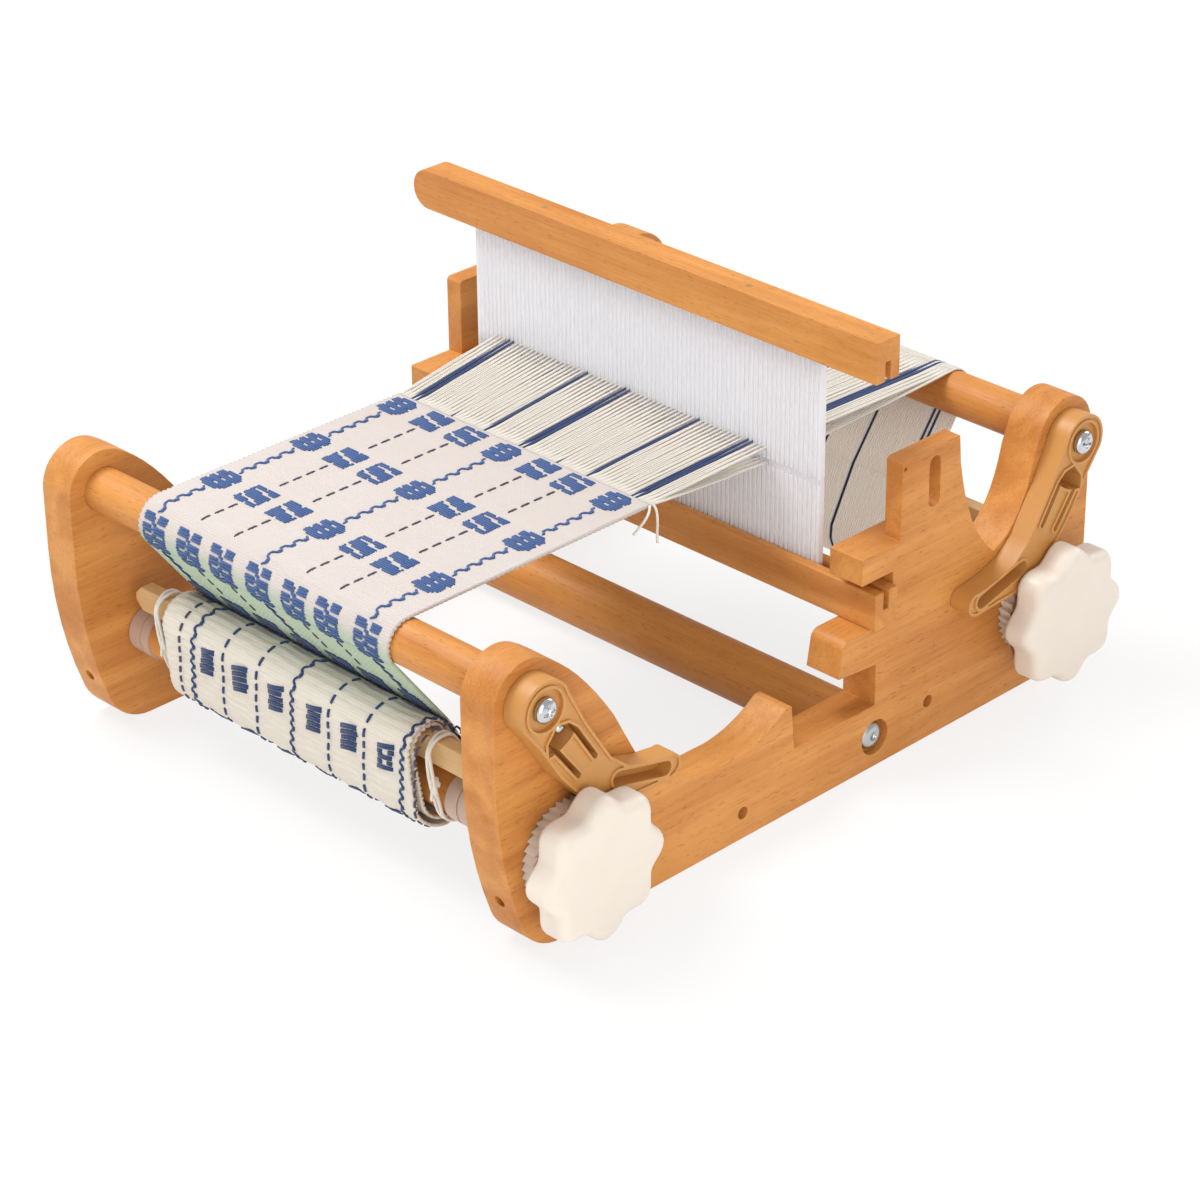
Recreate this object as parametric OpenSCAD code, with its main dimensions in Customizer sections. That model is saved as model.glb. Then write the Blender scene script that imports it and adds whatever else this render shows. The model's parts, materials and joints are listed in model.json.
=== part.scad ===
// Tabletop rigid-heddle weaving loom with a weaving in progress.
// X runs along the beams and Z up from the table. The cloth beam is at -Y, the weaver's side.
// The drawing is made round the middle of the loom and moved so that its box is centred.

/* [Side panels] */
// Clear width between the two side panels
side_gap = 234; // [222:1:400]
// Thickness of a side panel
side_t = 18; // [16:0.5:24]
// Length of a side panel, front to back
side_l = 350; // [345:1:420]
// Height of the arms that carry the beams
side_h = 130; // [128:1:140]
// Radius of the round head of each arm
arm_r = 17.5; // [15:0.5:19]
// Radius of the bottom corners
corner_r = 22; // [10:1:24]

/* [Beams and brace] */
// Diameter of the front and back beams
beam_d = 19; // [16:0.5:24]
// Diameter of the brace that ties the sides together
brace_d = 25; // [20:0.5:26]
// Place of the brace behind the middle
brace_y = 40.5; // [36:0.5:46]
// Height of the brace above the table
brace_z = 14; // [13.5:0.5:15]
// Depth of the sockets that hold the ends of beams and brace
socket_deep = 5; // [3:0.5:8]
// Diameter of the brace bolt's head
bolt_head_d = 12.5; // [10:0.5:14]
// Diameter of the pan heads of the beam screws
screw_head_d = 10.5; // [8:0.5:12]
// Diameter of the screws' shanks
screw_d = 4.5; // [3:0.5:6]

/* [Heddle rests] */
// Height of the middle notch's floor, where the heddle is at rest
rest_z = 66.5; // [64:0.5:70]
// Place of the middle notch's rear wall
rest_y = 49; // [46:0.5:52]
// Clear height of the middle notch
rest_h = 22; // [20:0.5:26]
// Length of the upper hook, forward from the rear wall
hook_reach = 19; // [14:0.5:24]
// Thickness of the upper hook
hook_t = 12; // [8:0.5:15]
// Length of the lip under the middle notch
lip_reach = 32; // [28:0.5:38]
// Thickness of the lip
lip_t = 16; // [12:0.5:20]
// Height of the lower notch's floor
low_z = 29.5; // [26:0.5:32]
// Height of the small peak in front of the lower notch
peak_h = 20.5; // [14:0.5:24]
// Place of the lower notch's front wall
low_y = -9; // [-14:0.5:-4]
// Width of the post above the hook, front to back
post_w = 35.5; // [26:0.5:37]
// Height of the post above the hook
post_h = 36; // [26:0.5:40]
// Thickness of the post, flush with the outer face
post_t = 9; // [6:0.5:12]
// Width of the slot in the post
slot_w = 7; // [4:0.5:10]
// Height of the slot in the post
slot_h = 23; // [14:0.5:26]

/* [Rollers] */
// Diameter of the wooden rollers
roller_d = 19; // [16:0.5:22]
// Distance of each roller behind the beam above it
roller_in = 17.5; // [15.5:0.5:19.5]
// Height of the rollers' axis
roller_z = 41; // [40:0.5:43]
// Diameter of the rollers' journals
journal_d = 12; // [8:0.5:14]
// Outer diameter of the plastic sleeves on the rollers
sleeve_d = 21; // [20:0.5:23]
// Length of the short sleeve beside the left panel
sleeve_short = 12; // [8:0.5:16]
// Length of the long sleeve on the ratchet side
sleeve_long = 37; // [20:1:40]

/* [Ratchets and knobs] */
// Outer radius of the ratchet wheels
ratchet_r = 22.5; // [20:0.5:23]
// Thickness of the ratchet wheels
ratchet_t = 6; // [4:0.5:8]
// Number of ratchet teeth
ratchet_teeth = 36; // [24:1:48]
// Height of a ratchet tooth
tooth_h = 2.2; // [1:0.1:3]
// Outer radius of the knobs
knob_r = 32; // [28:0.5:34]
// Thickness of the knobs
knob_t = 14.5; // [10:0.5:20]
// Number of lobes on a knob
knob_lobes = 8; // [6:1:10]
// Rounding of the knobs' edges
knob_edge = 5; // [2:0.5:6]

/* [Pawls] */
// Thickness of the pawls
pawl_t = 10; // [8:0.5:12]
// Radius of a pawl's round head
pawl_head_r = 12.5; // [11:0.5:14]
// Depth of the pockets moulded into the pawls
pocket_deep = 7; // [3:0.5:8]
// Diameter of the round-headed stop pins
pin_d = 5; // [3:0.5:6]

/* [Heddle] */
// Depth of both heddle rails, front to back
rail_d = 13.5; // [11:0.5:15]
// Height of the bottom rail
rail_h = 17; // [14:0.5:18]
// Length of the bottom rail past each side panel's outer face
rail_past = 3; // [1:0.5:8]
// Height of the top rail
top_rail_h = 18; // [14:0.5:22]
// Clear height of the reed between the rails
reed_h = 93; // [80:1:110]
// Width of the reed
reed_w = 205; // [180:1:212]
// Thickness of the reed
reed_t = 3; // [2:0.5:4]
// Distance between two slots of the reed
reed_pitch = 5.1; // [4.5:0.1:8]
// Width of a slot in the reed
reed_slot = 1.7; // [1:0.1:2.5]
// Height of the eyes in the reed's blades
eye_h = 9; // [6:0.5:14]
// Width of the eyes in the reed's blades
eye_w = 1.3; // [0.8:0.1:2]

/* [Weaving] */
// Width of the cloth
cloth_w = 150; // [100:1:158]
// Thickness of the cloth
cloth_t = 1.4; // [1:0.1:2]
// Shift of the cloth to the left of the middle
cloth_shift = 5; // [0:0.5:8]
// Place of the fell, the last woven row
fell_y = -26; // [-40:1:-22]
// Width of the warp at the reed
warp_w = 162; // [110:1:170]
// Thickness of the warp sheet
warp_t = 0.9; // [0.6:0.1:1.4]
// Number of cloth turns on the front roller
cloth_turns = 2; // [1:1:3]
// Number of warp turns on the rear roller
warp_turns = 3; // [1:1:4]
// Depth of the warp sticks, front to back
stick_d = 6.5; // [5:0.5:8]
// Height of the warp sticks
stick_h = 11; // [8:0.5:13]
// Length of the warp sticks
stick_l = 216; // [190:1:220]
// Diameter of the cords that tie the sticks on
tie_d = 1.8; // [1.2:0.1:2.4]

/* [Hidden] */
$fn = 64;

// Shared clearances
fit = 0.05;
gap = 0.3;
over = 1;
thin = 0.1;

// Places worked out from the driving sizes
side_in = side_gap / 2;
side_out = side_in + side_t;
beam_y = side_l / 2 - arm_r;
beam_z = side_h - arm_r;
roller_y = beam_y - roller_in;
hook_z = rest_z + rest_h;
shelf_z = hook_z + hook_t;
post_set = 4;
post_y = rest_y + post_set;
post_z = shelf_z + post_h;
lip_root = 9;
low_back_y = rest_y - lip_root;
pawl_x = side_out + gap;
knob_x = pawl_x + pawl_t + 2 * gap;
rail_half = side_out + rail_past;
top_rail_half = side_out;
frame_x = (rail_half - knob_x - knob_t) / 2;
rail_z = rest_z + fit;
rail_y = rest_y - gap - rail_d;
reed_y = rail_y + rail_d / 2;
reed_z = rail_z + rail_h;
top_rail_z = reed_z + reed_h;
groove_deep = rail_h / 2;
groove_gap = thin;
web_z = beam_z + beam_d / 2 + gap;
cloth_x = -cloth_shift;
warp_z = web_z + cloth_t / 2;
clamp_d = 5;
clamp_z = 24;
clamp_deep = 14;
point_share = 0.6;
foot_hole_d = 5.5;
foot_hole_deep = 8;
foot_hole_share = [-0.225, 0.422];
foot_hole_z_share = [0.86, 1.25];
bolt_d = 6;
bolt_head_h = 4;
counterbore_play = 3.5;
counterbore_d = bolt_head_d + counterbore_play;
bolt_sunk = 0.4;
counterbore_deep = bolt_head_h + bolt_sunk;
screw_head_h = 3;
boss_ring_d = 17.6;
boss_ring_deep = 2;
brad_d = 1.8;
brad_h = 3;
groove_w = 1;
peak_w = 2;
peak_run = 5;
post_edge = 1.2;
slot_drop = 4;
screw_deep = 14;
bolt_deep = 18;
pan_shares = [0.35, 0.65];
hub_r = 12;

wood = [0.85, 0.55, 0.28];
pale_wood = [0.88, 0.68, 0.42];
pawl_tan = [0.86, 0.6, 0.34];
white_plastic = [0.93, 0.92, 0.9];
grey_plastic = [0.68, 0.64, 0.62];
nylon = [0.9, 0.9, 0.91];
steel = [0.75, 0.76, 0.78];
brass = [0.8, 0.62, 0.3];
cream = [0.9, 0.87, 0.78];

// Curves for outlines
function arc(c, r, a0, a1, n = 10) =
  [for (i = [0:n]) let (a = a0 + (a1 - a0) * i / n) c + r * [cos(a), sin(a)]];
function bend(p, c, q, n = 8) =
  [for (i = [0:n]) let (t = i / n) (1 - t) * (1 - t) * p + 2 * t * (1 - t) * c + t * t * q];
function polar(r, a) = r * [cos(a), sin(a)];

// A round cord swept along points, its ends closed or joined
tube_sides = 8;
function ahead(points, i, closed) = let (n = len(points), a = closed ? (i + n - 1) % n : max(i - 1, 0),
  b = closed ? (i + 1) % n : min(i + 1, n - 1)) points[b] - points[a];
function tube_ring(p, t, d) =
  let (u = cross(t, [1, 0, 0]) / norm(cross(t, [1, 0, 0])), v = cross(t, u) / norm(t))
  [for (k = [0:tube_sides - 1]) let (a = k * 360 / tube_sides) p + d / 2 * (cos(a) * u + sin(a) * v)];
module tube(points, d, closed) {
  n = len(points);
  polyhedron([for (i = [0:n - 1]) each tube_ring(points[i], ahead(points, i, closed), d)],
    concat([for (i = [0:(closed ? n - 1 : n - 2)], k = [0:tube_sides - 1], s = [0, 1])
      let (j = (i + 1) % n, m = (k + 1) % tube_sides, a = i * tube_sides, b = j * tube_sides)
        s == 0 ? [a + k, b + k, b + m] : [a + k, b + m, a + m]],
      closed ? [] : [[for (k = [0:tube_sides - 1]) k],
        [for (k = [tube_sides - 1:-1:0]) (n - 1) * tube_sides + k]]));
}

module framed() translate([frame_x, 0, 0]) children();
// A blind hole with the drill's point at its end
module drilled(deep, d) {
  cylinder(h = deep, d = d);
  translate([0, 0, deep]) cylinder(h = point_share * d / 2, d1 = d, d2 = 0);
}
// Extrudes an outline drawn in front-to-back and up directions along the beams
module along_x(x0, len) translate([x0, 0, 0]) rotate([90, 0, 90]) linear_extrude(len) children();
module rod_x(x0, len, d, y, z) translate([x0, y, z]) rotate([0, 90, 0]) cylinder(h = len, d = d);

// Side panels: the outline runs from the front arm over the rests to the rear arm and back underneath
belly_r = side_l * 0.57;
belly_z = side_h * 0.65;
function from_front(s) = -side_l / 2 + s * side_l;
arm_slope_shares = [[0.125, 0.907], [0.18, 0.677], [0.223, 0.462], [0.257, 0.315], [0.328, 0.304]];
valley_shares = [[0.374, 0.302], [0.42, 0.308]];
hollow_shares = [[0.756, 0.954], [0.774, 0.677], [0.823, 0.569], [0.874, 0.615], [0.893, 0.846]];
function share_point(s) = [from_front(s[0]), s[1] * side_h];
lip_r = 4.5;
lip_lean = 2;
post_slot_share = 0.57;
post_cut_share = 1.4;
function corner_c() = let (dz = belly_z - corner_r, r = belly_r - corner_r)
  [-side_l / 2 + belly_r - sqrt(r * r - dz * dz), corner_r];
function corner_a() = let (c = corner_c()) atan2(c[1] - belly_z, c[0] + side_l / 2 - belly_r) + 360;
// Where the rounded front edge lies at the height of the clamp hole
function clamp_face() = let (dz = belly_z - clamp_z)
  -side_l / 2 + belly_r - sqrt(belly_r * belly_r - dz * dz);
function bottom_front() = concat(arc(corner_c(), corner_r, 270, corner_a(), 8),
  arc([-side_l / 2 + belly_r, belly_z], belly_r, corner_a(), 180, 6));
function panel_outline() = concat(
  bottom_front(),
  arc([-beam_y, beam_z], arm_r, 180, 62, 14),
  bend([-beam_y, beam_z] + polar(arm_r, 62), share_point(arm_slope_shares[0]),
    share_point(arm_slope_shares[1])),
  bend(share_point(arm_slope_shares[2]), share_point(arm_slope_shares[3]), share_point(arm_slope_shares[4])),
  bend(share_point(valley_shares[0]), share_point(valley_shares[1]), [low_y - peak_run, low_z + peak_h]),
  [[low_y - peak_w, low_z + peak_h], [low_y, low_z], [low_back_y, low_z]],
  [[low_back_y, rest_z - lip_t - lip_lean], [rest_y - lip_reach, rest_z - lip_t]],
  arc([rest_y - lip_reach + lip_r + lip_lean, rest_z - lip_r], lip_r, 180, 90, 6),
  [[rest_y, rest_z], [rest_y, hook_z], [rest_y - hook_reach, hook_z], [rest_y - hook_reach, shelf_z]],
  [[post_y, shelf_z], [post_y, post_z - post_edge], [post_y + post_edge, post_z], [post_y + post_w, post_z]],
  bend(share_point(hollow_shares[0]), share_point(hollow_shares[1]), share_point(hollow_shares[2])),
  bend(share_point(hollow_shares[2]), share_point(hollow_shares[3]), share_point(hollow_shares[4])),
  arc([beam_y, beam_z], arm_r, 160, 0, 16),
  arc([side_l / 2 - corner_r, corner_r], corner_r, 0, -90, 8));

// The right panel, outer face at +X
module panel() difference() {
  along_x(side_in, side_t) polygon(panel_outline());
  // The post keeps only its outer part
  translate([side_in - over, rest_y - hook_reach - over, shelf_z])
    cube([side_t - post_t + over, post_y + post_w * post_cut_share - rest_y + hook_reach, post_h + over]);
  // Slot in the post
  along_x(side_in, side_t + over)
    slot_2d(post_y + post_w * post_slot_share, post_z - slot_h - slot_drop, slot_w, slot_h);
  // Sockets for beams and brace, and the holes of their screws and bolt
  for (y = [-beam_y, beam_y]) {
    rod_x(side_in - over, socket_deep + over, beam_d + 2 * fit, y, beam_z);
    rod_x(side_in, side_t + over, screw_d + 2 * fit, y, beam_z);
  }
  rod_x(side_in - over, socket_deep + over, brace_d + 2 * fit, brace_y, brace_z);
  rod_x(side_in, side_t + over, bolt_d + 2 * fit, brace_y, brace_z);
  rod_x(side_out - counterbore_deep, counterbore_deep + over, counterbore_d, brace_y, brace_z);
  // Journal holes of the rollers
  for (y = [-roller_y, roller_y]) rod_x(side_in - over, side_t + 2 * over, journal_d + 2 * fit, y, roller_z);
  // Clamp hole in the lower front, and two blind holes for a stand
  translate([side_in + side_t / 2, -side_l / 2 - over, clamp_z]) rotate([-90, 0, 0])
    drilled(clamp_face() + side_l / 2 + clamp_deep + over, clamp_d);
  for (i = [0, 1])
    translate([side_out + over, foot_hole_share[i] * side_l / 2, foot_hole_z_share[i] * brace_z])
      rotate([0, -90, 0]) drilled(foot_hole_deep + over, foot_hole_d);
  // Brad hole at the post's front top corner
  rod_x(side_out - brad_h, brad_h + over, brad_d, post_y + brad_d, post_z - 2 * brad_d);
}
module slot_2d(y, z, w, h) {
  translate([y, z + w / 2]) circle(d = w);
  translate([y, z + h - w / 2]) circle(d = w);
  translate([y - w / 2, z + w / 2]) square([w, h - w]);
}
// On the right the stop pins of the pawls are driven into the panel
module right_side() color(wood) framed() difference() {
  panel();
  for (m = [0, 1]) mirror([0, m, 0]) pin_hole();
}
module left_side() color(wood) framed() mirror([1, 0, 0]) panel();

// Beams and brace, each seated in its sockets
module beam(y) rod_x(-side_in - socket_deep + gap, side_gap + 2 * socket_deep - 2 * gap, beam_d, y, beam_z);
module beam_bores(y) for (m = [0, 1]) mirror([m, 0, 0])
  rod_x(side_in + socket_deep - gap - screw_deep, screw_deep + over, screw_d + 2 * fit, y, beam_z);
module front_beam() color(wood) framed() difference() {
  beam(-beam_y);
  beam_bores(-beam_y);
}
module back_beam() color(wood) framed() difference() {
  beam(beam_y);
  beam_bores(beam_y);
}
module brace() color(wood) framed() difference() {
  rod_x(-side_in - socket_deep + gap, side_gap + 2 * socket_deep - 2 * gap, brace_d, brace_y, brace_z);
  for (m = [0, 1]) mirror([m, 0, 0])
    rod_x(side_in + socket_deep - gap - bolt_deep, bolt_deep + over, bolt_d + 2 * fit, brace_y, brace_z);
}

// A domed head on a shank that points to the middle of the loom, drawn for the right side
function dome(d, h) =
  [for (i = [0:6]) let (a = i * 15) [d / 2 * cos(a), h * (pan_shares[0] + pan_shares[1] * sin(a))]];
module domed_screw(x, head_d, head_h, shank_d, shank_l, y, z) translate([x, y, z]) rotate([0, 90, 0])
  rotate_extrude() polygon(concat([[0, -shank_l], [shank_d / 2, -shank_l], [shank_d / 2, 0], [head_d / 2, 0]],
    dome(head_d, head_h)));
module brace_bolts() color(steel) framed() for (m = [0, 1]) mirror([m, 0, 0]) difference() {
  domed_screw(side_out - counterbore_deep, bolt_head_d, bolt_head_h, bolt_d,
    side_t - counterbore_deep - socket_deep + bolt_deep, brace_y, brace_z);
  hex_recess(side_out - counterbore_deep + bolt_head_h, brace_y, brace_z, bolt_d * 0.7);
}
module hex_recess(x, y, z, w) translate([x - w / 3, y, z]) rotate([0, 90, 0]) cylinder(h = w, d = w, $fn = 6);
module cross_recess(x, y, z, w) for (a = [0, 90]) translate([x, y, z]) rotate([a, 0, 0])
  translate([-w / 4, -w / 2, -w / 10]) cube([w, w, w / 5]);
module beam_screws() color(steel) framed() mirror([1, 0, 0]) for (y = [-beam_y, beam_y]) difference() {
  domed_screw(side_out, screw_head_d, screw_head_h, screw_d, side_t - socket_deep + screw_deep, y, beam_z);
  cross_recess(side_out + screw_head_h, y, beam_z, screw_head_d * 0.55);
}

// Rollers: journals run in the panels, the right one carries ratchet and knob
module roller() {
  rod_x(-side_in + gap, side_gap - 2 * gap, roller_d, -roller_y, roller_z);
  rod_x(-side_out + gap, side_t + over, journal_d, -roller_y, roller_z);
  rod_x(side_in - over, knob_x + knob_t - knob_edge - side_in, journal_d, -roller_y, roller_z);
}
sleeve_groove_share = 0.55;
module sleeve(x0, len) difference() {
  rod_x(x0, len, sleeve_d, -roller_y, roller_z);
  rod_x(x0 - over, len + 2 * over, roller_d + 2 * fit, -roller_y, roller_z);
  groove(x0 + sleeve_short * sleeve_groove_share);
}
module groove(x) difference() {
  rod_x(x, groove_w, sleeve_d + over, -roller_y, roller_z);
  rod_x(x - over, groove_w + 2 * over, sleeve_d - groove_w, -roller_y, roller_z);
}
module sleeves() {
  sleeve(-side_in + 2 * gap, sleeve_short);
  sleeve(side_in - 2 * gap - sleeve_long, sleeve_long);
}
module ratchet() translate([pawl_x, -roller_y, roller_z]) difference() {
  union() {
    along_x(0, ratchet_t) polygon([for (i = [0:ratchet_teeth - 1]) for (k = [0, 1])
      polar(ratchet_r - k * tooth_h, (i + k * 0.12) * 360 / ratchet_teeth)]);
    rod_x(0, knob_x - pawl_x, 2 * hub_r, 0, 0);
  }
  rod_x(-over, knob_x - pawl_x + 2 * over, journal_d + 2 * fit, 0, 0);
}
// A knob is a thick flower of soft lobes: rings of one outline, drawn in towards both faces
knob_dip_share = 0.145;
lobe_points = 12;
knob_foot_share = 0.5;
function knob_ring(k) = k < 5 ? let (a = k * 22.5) knob_edge * knob_foot_share * [1 - cos(a), 1 - sin(a)]
  : let (a = (k - 5) * 15) [knob_t - knob_edge * (1 - sin(a)), knob_edge * (1 - cos(a))];
module knob_blank() {
  n = knob_lobes * lobe_points;
  last = 11;
  polyhedron([for (k = [0:last], i = [0:n - 1]) let (a = i * 360 / n, ring = knob_ring(k),
      p = polar(knob_r * (1 - knob_dip_share / 2 * (1 - cos(knob_lobes * a))) - ring[1], a))
      [ring[0], p[0], p[1]]],
    concat([for (k = [0:last - 1], i = [0:n - 1], s = [0, 1]) let (j = (i + 1) % n)
        s == 0 ? [k * n + i, k * n + n + i, k * n + n + j] : [k * n + i, k * n + n + j, k * n + j]],
      [[for (i = [0:n - 1]) i], [for (i = [n - 1:-1:0]) last * n + i]]));
}
module knob() translate([knob_x, -roller_y, roller_z]) difference() {
  knob_blank();
  rod_x(-over, knob_t - knob_edge + over + gap, journal_d + 2 * fit, 0, 0);
}
module to_rear() mirror([0, 1, 0]) children();
module cloth_roller() color(wood) framed() roller();
module warp_roller() color(wood) framed() to_rear() roller();
module cloth_roller_sleeves() color(grey_plastic) framed() sleeves();
module warp_roller_sleeves() color(grey_plastic) framed() to_rear() sleeves();
module cloth_ratchet() color(white_plastic) framed() ratchet();
module warp_ratchet() color(white_plastic) framed() to_rear() ratchet();
module cloth_knob() color(white_plastic) framed() knob();
module warp_knob() color(white_plastic) framed() to_rear() knob();

// Warp sticks: a flat bar with cut corners, lying on the roller, and a loop of cord at each end
stick_forward = 8.5;
stick_rise = 7.5;
stick_cut_share = 0.35;
stick_y = -roller_y - stick_forward;
stick_z = roller_z + roller_d / 2 + stick_rise + stick_h / 2;
stick_cut = stick_h * stick_cut_share;
// Each corner's two points: its side along the bar, its side in height, and which way the cut moves it
stick_corners = [[-1, -1, 1, 0], [1, -1, -1, 0], [1, -1, 0, 1], [1, 1, 0, -1],
  [1, 1, -1, 0], [-1, 1, 1, 0], [-1, 1, 0, -1], [-1, -1, 0, 1]];
module stick() translate([0, stick_y + stick_d / 2, stick_z]) rotate([90, 0, 0]) linear_extrude(stick_d)
  polygon([for (s = stick_corners)
    [s[0] * stick_l / 2 + s[2] * stick_cut, s[1] * stick_h / 2 + s[3] * stick_cut]]);
module cloth_stick() color(pale_wood) framed() stick();
module warp_stick() color(pale_wood) framed() to_rear() stick();
// The loop goes round the roller below and the stick above
tie_low = [-roller_y, roller_z];
tie_low_r = sleeve_d / 2 + tie_d / 2 + gap;
tie_high = [stick_y, stick_z + stick_h / 4];
tie_high_r = norm([stick_d / 2, stick_h / 4]) + tie_d / 2 + gap;
function tie_route() = let (v = tie_high - tie_low, lean = atan2(v[1], v[0]),
  open = acos((tie_low_r - tie_high_r) / norm(v)))
  [for (p = concat(arc(tie_high, tie_high_r, lean + open, lean - open, 8),
    arc(tie_low, tie_low_r, lean - open, lean + open - 360, 14))) [0, p[0], p[1]]];
module ties(x, w) for (m = [-1, 1]) translate([x + m * (w / 2 + 3 * tie_d), 0, 0])
  tube(tie_route(), tie_d, true);
module cloth_stick_ties() color(cream) framed() ties(cloth_x, cloth_w);
module warp_stick_ties() color(cream) framed() to_rear() ties(warp_x, warp_w);

// Pawls: drawn with the pivot at the origin and the roller's axis straight below, then leaned to meet it
pawl_reach = norm([roller_in, beam_z - roller_z]);
pawl_lean = atan2(roller_in, beam_z - roller_z);
pawl_back_shares = [[-0.09, 0.21], [-0.01, 0.45]];
// The hollow that clears the ratchet: an angle round the roller, and a share of the tooth height past the gap
pawl_hollow_shares = [[70, 0.64], [52, 0.36]];
pawl_under_shares = [[0.35, 0.868], [0.69, 0.97]];
pawl_tip_share = [0.71, 0.90];
pawl_tip_r_share = 0.07;
pawl_over_shares = [[0.713, 0.832], [0.565, 0.77], [0.435, 0.69], [0.337, 0.56], [0.29, 0.42], [0.23, 0.245]];
tooth_a = 35;
function pawl_point(s) = pawl_reach * [s[0], -s[1]];
function past_ratchet(clear, a) = [0, -pawl_reach] + polar(ratchet_r + gap + clear, a);
function pawl_outline() = concat(
  arc([0, 0], pawl_head_r, 0, 190, 20),
  [for (s = pawl_back_shares) pawl_point(s)],
  [for (s = pawl_hollow_shares) past_ratchet(s[1] * tooth_h, s[0])],
  [past_ratchet(0, tooth_a), past_ratchet(2 * tooth_h, tooth_a)],
  [for (s = pawl_under_shares) pawl_point(s)],
  arc(pawl_point(pawl_tip_share), pawl_reach * pawl_tip_r_share, -80, 80, 8),
  [for (s = pawl_over_shares) pawl_point(s)]);
pin_a = -65;
pin_reach = 18;
window_in = pin_reach - pin_d / 2 - gap;
window_out = pin_reach + pin_d / 2 + gap;
window_a = [-101, -54];
function rounded_slot(p, q, r, n = 8) = let (a = atan2(q[1] - p[1], q[0] - p[0]))
  concat(arc(q, r, a - 90, a + 90, n), arc(p, r, a + 90, a + 270, n));
handle_pocket_shares = [[0.35, 0.72], [0.665, 0.885]];
spring_slot_shares = [[[0, 0.27], [0.104, 0.511]], [[0.155, 0.24], [0.236, 0.475]]];
window_tip = [10.6, -72];
module pawl_2d() polygon(pawl_outline());
// The window lets the stop pin swing, and ends in a point under the boss
module pawl_window() polygon(concat(arc([0, 0], window_out, window_a[0], window_a[1], 12),
  [polar(window_in, window_a[1]), polar(window_tip[0], window_tip[1]), polar(window_in, window_a[0])]));
module pawl_pockets_2d() {
  polygon(rounded_slot(pawl_point(handle_pocket_shares[0]), pawl_point(handle_pocket_shares[1]), pocket_r));
  for (s = spring_slot_shares) polygon(rounded_slot(pawl_point(s[0]), pawl_point(s[1]), spring_slot_r));
}
// The face lies lower between the rim and the borders of boss, window and pockets
module pawl_face_2d() offset(r = rim_w / 4) offset(r = -rim_w / 4) difference() {
  offset(r = -rim_w) pawl_2d();
  offset(r = rim_w) {
    pawl_pockets_2d();
    pawl_window();
    circle(d = boss_ring_d);
  }
}
module pawl_body() difference() {
  along_x(0, pawl_t) pawl_2d();
  rod_x(-over, pawl_t + 2 * over, screw_d + 2 * fit, 0, 0);
  rod_x(pawl_t - boss_ring_deep, boss_ring_deep + over, boss_ring_d, 0, 0);
  along_x(-over, pawl_t + 2 * over) pawl_window();
  along_x(pawl_t - pocket_deep, pocket_deep + over) pawl_pockets_2d();
  along_x(pawl_t - rim_h, rim_h + over) pawl_face_2d();
}
pocket_r = 3.2;
spring_slot_r = 1.2;
rim_w = 1.2;
rim_h = 0.8;
module pawl_place() translate([pawl_x, -beam_y, beam_z]) rotate([pawl_lean, 0, 0]) children();
module front_pawl() color(pawl_tan) framed() pawl_place() pawl_body();
module rear_pawl() color(pawl_tan) framed() to_rear() pawl_place() pawl_body();
module pawl_screw() pawl_place() difference() {
  domed_screw(pawl_t - boss_ring_deep + gap, screw_head_d, screw_head_h + over, screw_d,
    pawl_t - boss_ring_deep + 2 * gap + side_t - socket_deep + screw_deep, 0, 0);
  cross_recess(pawl_t - boss_ring_deep + gap + screw_head_h + over, 0, 0, screw_head_d * 0.6);
}
module front_pawl_screw() color(steel) framed() pawl_screw();
module rear_pawl_screw() color(steel) framed() to_rear() pawl_screw();
pin_deep = side_t / 2;
module pin_at() pawl_place() translate([0, pin_reach * cos(pin_a), pin_reach * sin(pin_a)]) children();
module pin_hole() pin_at() rod_x(-pin_deep - gap, pin_deep + gap + over, pin_d * 0.6 + 2 * fit, 0, 0);
module pawl_pin() pin_at() {
  rod_x(-pin_deep, pin_deep + pawl_t / 2, pin_d * 0.6, 0, 0);
  domed_screw(pawl_t / 2 - over, pin_d, pin_d / 2, pin_d * 0.6, over, 0, 0);
}
module front_pawl_pin() color(steel) framed() pawl_pin();
module rear_pawl_pin() color(steel) framed() to_rear() pawl_pin();

// Heddle: two grooved rails hold the reed, a row of blades with eyes between open slots
module rail_block(half, z, h) translate([-half, rail_y, z]) cube([2 * half, rail_d, h]);
module heddle_bottom_rail() color(wood) framed() difference() {
  rail_block(rail_half, rail_z, rail_h);
  translate([-rail_half - over, reed_y - reed_t / 2 - groove_gap, reed_z - groove_deep])
    cube([2 * rail_half + 2 * over, reed_t + 2 * groove_gap, groove_deep + over]);
}
module heddle_top_rail() color(wood) framed() difference() {
  union() {
    rail_block(top_rail_half - top_rail_h / 2, top_rail_z, top_rail_h);
    translate([0, rail_y, top_rail_z]) cube([top_rail_half, rail_d, top_rail_h]);
    translate([-top_rail_half + top_rail_h / 2, rail_y, top_rail_z + top_rail_h / 2]) rotate([-90, 0, 0])
      cylinder(h = rail_d, d = top_rail_h);
  }
  translate([-top_rail_half - over, reed_y - reed_t / 2 - groove_gap, top_rail_z - over])
    cube([2 * top_rail_half + 2 * over, reed_t + 2 * groove_gap, groove_deep + over]);
  for (x = [-1, 1]) translate([x * heddle_pin_x, reed_y, top_rail_z + groove_deep])
    cylinder(h = top_rail_h, d = heddle_pin_d + 2 * fit);
}
heddle_pin_d = 2.5;
heddle_pin_x = reed_w * 0.29;
reed_hold = groove_deep - gap;
reed_count = floor(reed_w / reed_pitch);
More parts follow.
